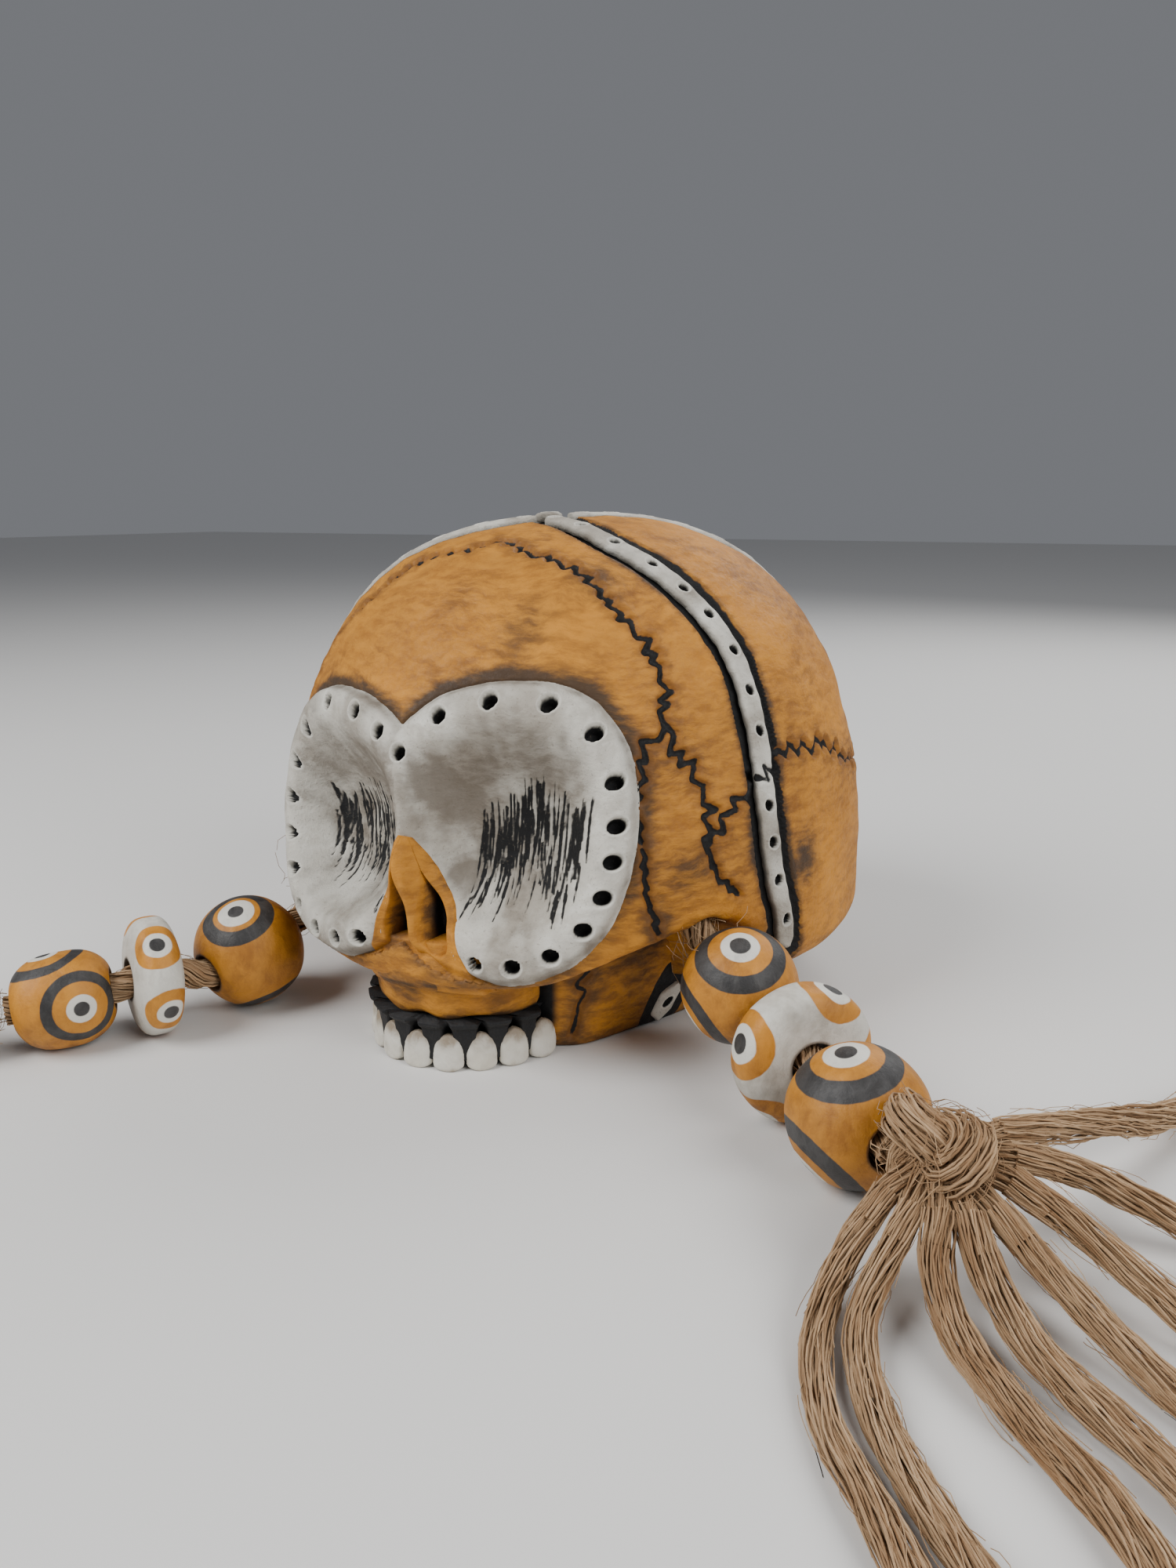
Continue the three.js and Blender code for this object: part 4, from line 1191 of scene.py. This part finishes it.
def noseHeight(x, z):
    t = acrossNose(x, z)
    low = 1 - step(z, 26, 33)
    crest = noseSetup["crest"] * (1 - low) * step(36.4 - z, 0, 3)
    crest = crest - noseSetup["hollow"] * low * step(z, 16, 20)
    septum = noseSetup["septum"] * low * np.exp(-(t / 0.16) ** 2) * step(z, 16, 20)
    height = socketSurface(x, z)[0] * step(z, 13, 19) + noseSetup["proud"]
    height = height + crest * (1 - np.minimum(t ** 2, 1)) + septum
    height -= 1.6 * step(np.abs(t), 0.97, 1.12) + 1.2 * (1 - step(z, 13, 15.5))
    long = noseSetup["nostrilTop"] - noseSetup["nostrilBottom"]
    part = np.clip((noseSetup["nostrilTop"] - z) / long, 0, 1)
    width = 0.3 * np.sin(math.pi * part ** 1.9) ** 0.5 + 0.01
    off = np.abs(np.abs(t) - 0.46)
    pit = 1 - step(off / width, 0.45, 1.25)
    pit *= step(z, noseSetup["nostrilBottom"] - 0.2, noseSetup["nostrilBottom"] + 1.2)
    return height - noseSetup["nostrilDepth"] * pit, pit, t


def addNose():
    zs = np.linspace(noseSetup["bottom"], noseSetup["top"], 150)
    across = np.linspace(-1.13, 1.13, 150)
    start = acrossNose(np.zeros_like(zs), zs)
    wide = 1 / (acrossNose(np.ones_like(zs), zs) - start)
    x = (across[None, :] - start[:, None]) * wide[:, None]
    z = np.repeat(zs[:, None], len(across), 1)
    height, pit, out = noseHeight(x, z)
    flat = facePoint(x, z, np.zeros_like(x))
    height = height + 0.1 * ripple(flat, 5, 51)
    front = facePoint(x, z, height)
    rear = facePoint(x[:, ::7], z[:, ::7], np.full_like(x[:, ::7], -noseSetup["root"]))[:, ::-1]
    points, faces = stack(np.concatenate([front, rear], 1))
    blank = np.zeros(rear.shape[:2])

    def spread(values):
        return np.concatenate([np.concatenate([values, blank], 1).ravel(), [0, 0]])

    # painted shade in and round the nostrils, across the right half of the nose's foot and along its right
    # edge where it drops to the mask; random mottling
    shade = 0.12 + 0.5 * step(pit, 0.02, 0.35)
    shade += 0.5 * np.exp(-((z - 15.6) / 1.5) ** 2) * step(out, -0.1, 0.5)
    shade += 0.25 * np.exp(-((out - 0.95) / 0.15) ** 2) * step(z, 18, 26) + 0.16 * ripple(flat, 4, 52)
    makePiece("nose", points, faces, ochrePaint, ["nose"],
              layers={"pit": spread(pit), "shade": np.clip(spread(shade), 0, 1)})


addNose()


# upper jaw, gum, teeth and base
jawPlan = [(0, -32.3), (4.4, -31.5), (8.2, -29.1), (11.3, -25.4), (13, -21.8), (13.1, -20.4)]
archPlan = [(0, -33.8), (4.8, -33), (9, -30.4), (12.6, -26.6), (14.8, -22.4)]
basePlan = [(14.5, -20), (18.8, -17.3), (23, -9.5), (27, -1), (30.5, 10), (30.5, 24), (24, 36), (12, 42),
            (0, 43.5)]
jawX = -0.4
jawSetup = {
    "levels": [(-1.4, 8.3), (-0.2, 7.9), (0.7, 7.9), (1.3, 8.4), (1.55, 9.3), (1.6, 10.4), (1.8, 11.5),
               (2.5, 12.6), (3.5, 13.6), (4.3, 14.6), (4.4, 16), (3.9, 17.6), (3.4, 19), (3.2, 20.5)],
    "lumps": 0.3, "lipWave": 0.8, "sideShare": 0.25,
}


def fullPlan(half, spacing):
    # a smooth outline in X and Y from its right half, going round anticlockwise
    right = smoothLine([(x, y, 0) for x, y in half], spacing)
    left = right[::-1] * mirror
    if half[0][0] == 0:
        return np.vstack([right, left[:-1]])
    return np.vstack([right, left[1:]])


def outwards(loop):
    along = unit(np.roll(loop, -1, 0) - np.roll(loop, 1, 0))
    return np.stack([along[:, 1], -along[:, 0], np.zeros(len(loop))], 1)


def closedPlan(half, spacing):
    loop = fullPlan(half, spacing)
    closing = evenly(np.vstack([loop[-1:], loop[:1]]), spacing)[1:-1]
    loop = np.vstack([loop, closing])
    soft = loop.copy()
    for _ in range(4):
        soft = (np.roll(soft, 1, 0) + 2 * soft + np.roll(soft, -1, 0)) / 4
    return soft


def addJaw():
    plan = closedPlan(jawPlan, 0.4)
    out = outwards(plan)
    front = step(-plan[:, 1], 19, 24)
    share = jawSetup["sideShare"]
    dense = smoothLine([(a, b, 0) for a, b in jawSetup["levels"]], 0.35)
    loops = []
    for push, z, _ in dense:
        fade = step(np.array([10.5 - z]), 0, 2)[0]
        wave = jawSetup["lipWave"] * np.sin(plan[:, 0] * 0.9 + 1) * fade * front
        bumps = jawSetup["lumps"] * ripple(plan + np.array([0, 0, z]), 6, 61)
        pushed = plan + out * ((push + bumps) * (share + (1 - share) * front))[:, None]
        loops.append(pushed + np.array([jawX, 0, z]) + np.array([0, 0, 0.5]) * wave[:, None])
    points, faces = stack(loops)
    # painted shade at the jaw's foot above the gum and in a band round z 14 below the nose, between the
    # parts; random mottling
    shade = 0.3 + 0.55 * (1 - step(points[:, 2], 7.4, 9.4)) + 0.4 * np.exp(-((points[:, 2] - 14) / 1.8) ** 2)
    shade += 0.22 * ripple(points, 6, 62)
    makePiece("upper_jaw", points, faces, ochrePaint, ["upper_jaw"],
              layers={"shade": np.clip(shade, 0, 1)})


toothSetup = {
    "halfWidth": 2.32, "halfDepth": 1.15, "height": 5.9, "sideCount": 4, "maxLean": 0.35, "lumps": 0.12,
    "outline": [(0, 0.78), (0.04, 0.93), (0.12, 1), (0.42, 1), (0.62, 0.93), (0.8, 0.76), (0.91, 0.52),
                (0.97, 0.28), (1, 0.03)],
}


def toothPlaces():
    arch = smoothLine([(x, y, 0) for x, y in archPlan], 0.05)
    run = np.linspace(0, 1, len(arch))
    for i in range(-toothSetup["sideCount"], toothSetup["sideCount"] + 1):
        side = 1 if i >= 0 else -1
        part = abs(i) / toothSetup["sideCount"]
        at = np.array([np.interp(part, run, arch[:, k]) for k in range(3)])
        ahead = np.array([np.interp(min(part + 0.02, 1), run, arch[:, k]) for k in range(3)])
        back = np.array([np.interp(max(part - 0.02, 0), run, arch[:, k]) for k in range(3)])
        along = unit(ahead - back)
        yield i, at * np.array([side, 1, 1]) + np.array([jawX, 0, 0]), along * np.array([1, side, 1])


def addTeeth():
    rng = np.random.default_rng(17)
    angles = np.linspace(0, 2 * math.pi, 40, endpoint=False)
    c, s = np.cos(angles), np.sin(angles)
    for i, at, along in toothPlaces():
        out = np.array([along[1], -along[0], 0])
        lean = rng.uniform(-toothSetup["maxLean"], toothSetup["maxLean"])
        high = toothSetup["height"] * rng.uniform(0.94, 1.0)
        loops = []
        for up in np.linspace(0, 1, 34):
            size = np.interp(up, *np.array(toothSetup["outline"]).T)
            wide = toothSetup["halfWidth"] * size * rng.uniform(0.99, 1.01)
            deep = toothSetup["halfDepth"] * (0.35 + 0.65 * size) * (1 - 0.25 * up)
            x = np.sign(c) * np.abs(c) ** 0.85 * wide + lean * up
            y = np.sign(s) * np.abs(s) ** 0.85 * deep
            z = 0.05 + up * high + (1 - up) ** 6 * 0.3 * (c ** 2)
            loops.append(at + along * x[:, None] + out * y[:, None] + np.array([0, 0, 1]) * z[:, None])
        points, faces = stack(loops)
        up = points[:, 2] / high
        points = points + (out * toothSetup["lumps"]) * ripple(points, 2.4, 70 + i)[:, None]
        # darker towards the top, painted shade at the foot by the floor, and random mottling
        shade = 0.06 + 0.9 * step(up, 0.42, 1.0) + 0.3 * (1 - step(up, 0, 0.15))
        shade += 0.26 * ripple(points, 2.5, 80 + i)
        turned = faces if np.cross(along, out)[2] < 0 else faces[:, ::-1]
        name = f"tooth_{i + toothSetup['sideCount'] + 1}"
        makePiece(name, points, turned[:, ::-1], toothPaint, [name],
                  layers={"shade": np.clip(shade, 0, 1)})


gumSetup = {"low": 0.9, "high": 7.7, "narrow": 0.5, "widen": 1.75, "proud": 1.9, "lip": 0.9, "reach": 1.9}


def addGum():
    # black gum, whose points run down between the teeth
    plan = closedPlan(jawPlan, 0.16)
    out = outwards(plan)
    front = step(-plan[:, 1], 18, 21)
    places = [at - np.array([jawX, 0, 0]) for _, at, _ in toothPlaces()]
    gaps = np.array([(a + b) / 2 for a, b in zip(places, places[1:])])
    ends = np.array([places[0] + (places[0] - places[1]) / 2, places[-1] + (places[-1] - places[-2]) / 2])
    gaps = np.vstack([gaps, ends])
    far = np.min(np.linalg.norm(plan[:, None] - gaps[None], axis=2) ** 2 - gumSetup["reach"] ** 2, 1)
    far = np.sqrt(np.maximum(far, 0))
    loops, wear = [], []
    for z in np.linspace(gumSetup["low"], gumSetup["high"], 40):
        up = (z - 0.9) / 6.8
        half = gumSetup["narrow"] + gumSetup["widen"] * up ** 1.2
        ridge = (1 - step(far / half, 0.35, 1.25)) * step(np.array([up]), -0.05, 0.1)[0]
        push = ridge * (gumSetup["proud"] + 0.25 * up) - 0.3 * (1 - ridge)
        push = push + gumSetup["lip"] * step(np.array([up]), 0.78, 0.95)[0]
        push = push + 0.12 * ripple(plan * 1.0 + np.array([0, 0, z]), 2.2, 91)
        loops.append(plan + out * (push * front)[:, None] + np.array([jawX, 0, z]))
        wear.append(ridge * front)
    points, faces = stack(loops)
    wear = np.concatenate([np.array(wear).ravel() * 0.3, [0, 0]])
    makePiece("gum_ridge", points, faces, charcoalPaint, ["gum_ridge"],
              layers={"wear": wear})


crackRoute = [(19.6, -16.2, 12), (18.2, -17.8, 10), (19.3, -16.8, 8.8), (18.5, -17.5, 7), (18, -17.9, 4.4),
              (17.4, -18.2, 2)]


baseSetup = {
    "levels": [(-3, 0.02, 0), (-1.2, 0.02, 0), (-0.4, 0.3, 0), (0, 1.1, 0), (0.15, 4, 0), (0, 9, 0),
               (-0.4, 15, 0), (-1.5, 21.5, 0)],
    # the corner beside the jaw that holds a painted shadow
    "lumps": 0.25, "crackDepth": 0.8, "shadowCorner": (13.6, -20.4),
}


def addBase():
    plan = closedPlan(basePlan, 0.45)
    out = outwards(plan)
    loops = []
    for push, z, _ in smoothLine(baseSetup["levels"], 0.45):
        bumps = baseSetup["lumps"] * ripple(plan + np.array([0, 0, z]), 11, 95) * step(np.array([z]), 0, 2)[0]
        loops.append(plan + out * (push + bumps)[:, None] + np.array([0, 0, z]))
    points, faces = stack(loops)
    crack = smoothLine(crackRoute, 0.15)
    spots = np.vstack([crack, crack * mirror])
    line = nearest(points, spots)
    groove = nearest(points, np.vstack([basePatchLine(1), basePatchLine(-1)]))
    facing = np.vstack([np.tile(out, (len(loops), 1)), np.zeros((2, 3))])
    points = points - facing * (baseSetup["crackDepth"] * (1 - step(line, 0.3, 1)))[:, None]
    # painted shade at the foot by the floor and towards the top under the cheekbone; darker round the crack;
    # random mottling
    shade = 0.34 + 0.4 * (1 - step(points[:, 2], 0, 4)) + 0.35 * step(points[:, 2], 8, 16)
    shade += 0.4 * np.exp(-(line / 2) ** 2) + 0.2 * ripple(points, 9, 96)
    # a painted shadow in the corner beside the jaw, drawn in black through the pit layer
    shadowCornerX, shadowCornerY = baseSetup["shadowCorner"]
    corner = np.exp(-((np.abs(points[:, 0]) - shadowCornerX) ** 2 + (points[:, 1] - shadowCornerY) ** 2) / 6)
    corner = corner * step(points[:, 2], 2.4, 4.4)
    makePiece("skull_base", points, faces, ochrePaint, ["skull_base"],
              layers={"line": line + 0.12, "groove": groove, "pit": corner, "shade": np.clip(shade, 0, 1)})


def basePatchLine(side):
    route = np.array([(27.3, -0.6, 6.2), (26.8, -1.8, 4.8), (26.1, -3, 2.9), (25.4, -4.2, 0.6)])
    return smoothLine(route * np.array([side, 1, 1]), 0.2)


baseBandSetup = {"halfWidth": 2.2, "proud": 0.75, "root": 1.2}


def addBaseBands():
    # the foot of each side band, on the base below the cheekbone
    half = baseBandSetup["halfWidth"]
    for label, side in (("right", 1), ("left", -1)):
        line = basePatchLine(side)
        out = unit(np.array([2, -0.95, 0]) * np.array([side, 1, 1]))
        aside = np.array([-out[1], out[0], 0])
        across = np.linspace(-1, 1, 23)
        loops, holes = [], []
        for i, at in enumerate(line):
            ends = step(np.array([min(i, len(line) - 1 - i)]), -2, 9)[0]
            middle = np.hypot(np.linalg.norm(at - line[len(line) // 2]), across * half)
            bulge = baseBandSetup["proud"] - 0.45 * np.abs(across) ** 4 - (1 - step(middle, 0.6, 1.0))
            top = at + aside * (across * half * ends)[:, None] + out * bulge[:, None]
            low = at + aside * (np.array([half, -half]) * ends)[:, None] - out * baseBandSetup["root"]
            loops.append(np.vstack([top, low]))
            holes.append(np.concatenate([middle + 0.1, [9, 9]]))
        points, faces = stack(loops)
        hole = np.concatenate([np.array(holes).ravel(), [9, 9]])
        shade = np.clip(0.3 + 0.3 * ripple(points, 5, 98), 0, 1)
        makePiece("base_band_" + label, points, faces, bonePaint,
                  layers={"hole": hole, "shade": shade})


addJaw()
addTeeth()
addGum()
addBase()
addBaseBands()
print("jaw and base made")


# beads: lathed clay with painted eyes round the bore
boreRadius = 3.25
beadSteps = 72
beadTurns = 128
beads = [
    {"name": "ball_bead_right_inner", "at": (43.4, -15.7, 14.3), "along": (0.76, -0.25, -0.6), "radius": 8.5,
     "half": 8.2, "n": 2.1, "eyes": [(22, -2.8), (142, -0.5), (262, 0.4)], "rings": (1.5, 2.8, 4.8, 7.3)},
    {"name": "disc_bead_right", "at": (55.2, -23.5, 9.9), "along": (0.69, -0.72, -0.04), "radius": 9.8,
     "half": 3.9, "n": 3.2, "eyes": [(-24, 0.2), (73, 0.4), (145, 0), (217, 0), (-96, 0)],
     "rings": (1.4, 2.7, 4.9, 0)},
    {"name": "ball_bead_right_outer", "at": (65.9, -35.1, 9), "along": (0.71, -0.7, 0), "radius": 8.9,
     "half": 8.3, "n": 2.1, "eyes": [(13, -0.3), (133, 0), (253, 0)], "rings": (1.4, 2.9, 4.7, 7.4)},
    {"name": "ball_bead_left_inner", "at": (-38.8, -27.4, 9.3), "along": (-0.23, -0.94, -0.22), "radius": 9.1,
     "half": 8.6, "n": 2.1, "eyes": [(-14, 1.5), (-162, 0), (100, 0)], "rings": (1.3, 3.0, 3.9, 6.3)},
    {"name": "disc_bead_left", "at": (-44.4, -42.9, 9.4), "along": (-0.5, -0.86, 0.03), "radius": 9.3,
     "half": 3.7, "n": 3.2, "eyes": [(-40, 0.4), (-110, -0.6), (-182, 0), (-254, 0), (32, 0)],
     "rings": (1.2, 2.2, 4.0, 0)},
    {"name": "barrel_bead_left", "at": (-53.1, -52.7, 7.5), "along": (-0.67, -0.73, -0.1), "radius": 7.4,
     "half": 7.6, "n": 2.6, "eyes": [(-86, -3.0), (10, 1.8), (150, 0)], "rings": (1.15, 2.2, 4.2, 6.0)},
]


def addBead(bead):
    radius, half, n = bead["radius"], bead["half"], bead["n"]
    start = math.asin(boreRadius / radius)
    angles = np.linspace(start, math.pi - start, beadSteps)
    reach = (np.sin(angles) ** n + np.abs(np.cos(angles)) ** n) ** (-1 / n)
    out, axial = radius * reach * np.sin(angles), -half * reach * np.cos(angles)
    out[[0, -1]] = boreRadius
    bore = np.linspace(axial[-1], axial[0], 14)[1:-1]
    out = np.concatenate([out, np.full(len(bore), boreRadius - 0.02)])
    axial = np.concatenate([axial, bore])
    axis = unit(np.array(bead["along"], float))
    up = unit(np.array([0, 0, 1]) - axis * axis[2])
    side = np.cross(axis, up)
    around = np.linspace(0, 2 * math.pi, beadTurns, endpoint=False)
    wheel = up * np.cos(around)[:, None] + side * np.sin(around)[:, None]
    shape = axis * axial[None, :, None] + wheel[:, None] * out[None, :, None]
    turns, steps = shape.shape[:2]
    points = shape.reshape(-1, 3)
    i, j = np.meshgrid(np.arange(turns), np.arange(steps), indexing="ij")
    a, b = i.ravel(), j.ravel()
    a2, b2 = (a + 1) % turns, (b + 1) % steps
    quads = np.stack([a * steps + b, a2 * steps + b, a2 * steps + b2, a * steps + b2], 1)
    clear = np.tile(step(out, boreRadius, boreRadius + 1.5), turns)
    lumps = 0.1 * ripple(points, 7, 101 + int(radius * 10)) * clear
    points = points + unit(points) * lumps[:, None]
    eye = np.full(len(points), 30.0)
    for angle, shift in bead["eyes"]:
        turn = math.radians(angle)
        away = np.interp(shift, axial[:beadSteps], out[:beadSteps])
        spot = (up * math.cos(turn) + side * math.sin(turn)) * away + axis * shift
        chord = np.linalg.norm(points - spot, axis=1)
        eye = np.minimum(eye, 2 * radius * np.arcsin(np.clip(chord / (2 * radius), 0, 1)))
    # painted shade in the bore and on the underside of the bead; random mottling
    inBore = np.tile(1 - step(out, boreRadius, boreRadius + 0.5), turns)
    under = 1 - step(points[:, 2], -radius, -0.3 * radius)
    shade = np.clip(0.06 + 0.8 * inBore + 0.35 * under + 0.16 * ripple(points, 6, 110), 0, 1)
    ground = "bone" if bead["name"].startswith("disc") else "ochre"
    finish = makeEyeBead(bead["name"] + "Paint", bead["rings"], ground)
    makePiece(bead["name"], points + np.array(bead["at"]), triangles(quads), finish,
              [bead["name"]],
              body=bead["name"], layers={"eye": eye, "shade": shade})


for bead in beads:
    addBead(bead)
print("beads made")

print("done")
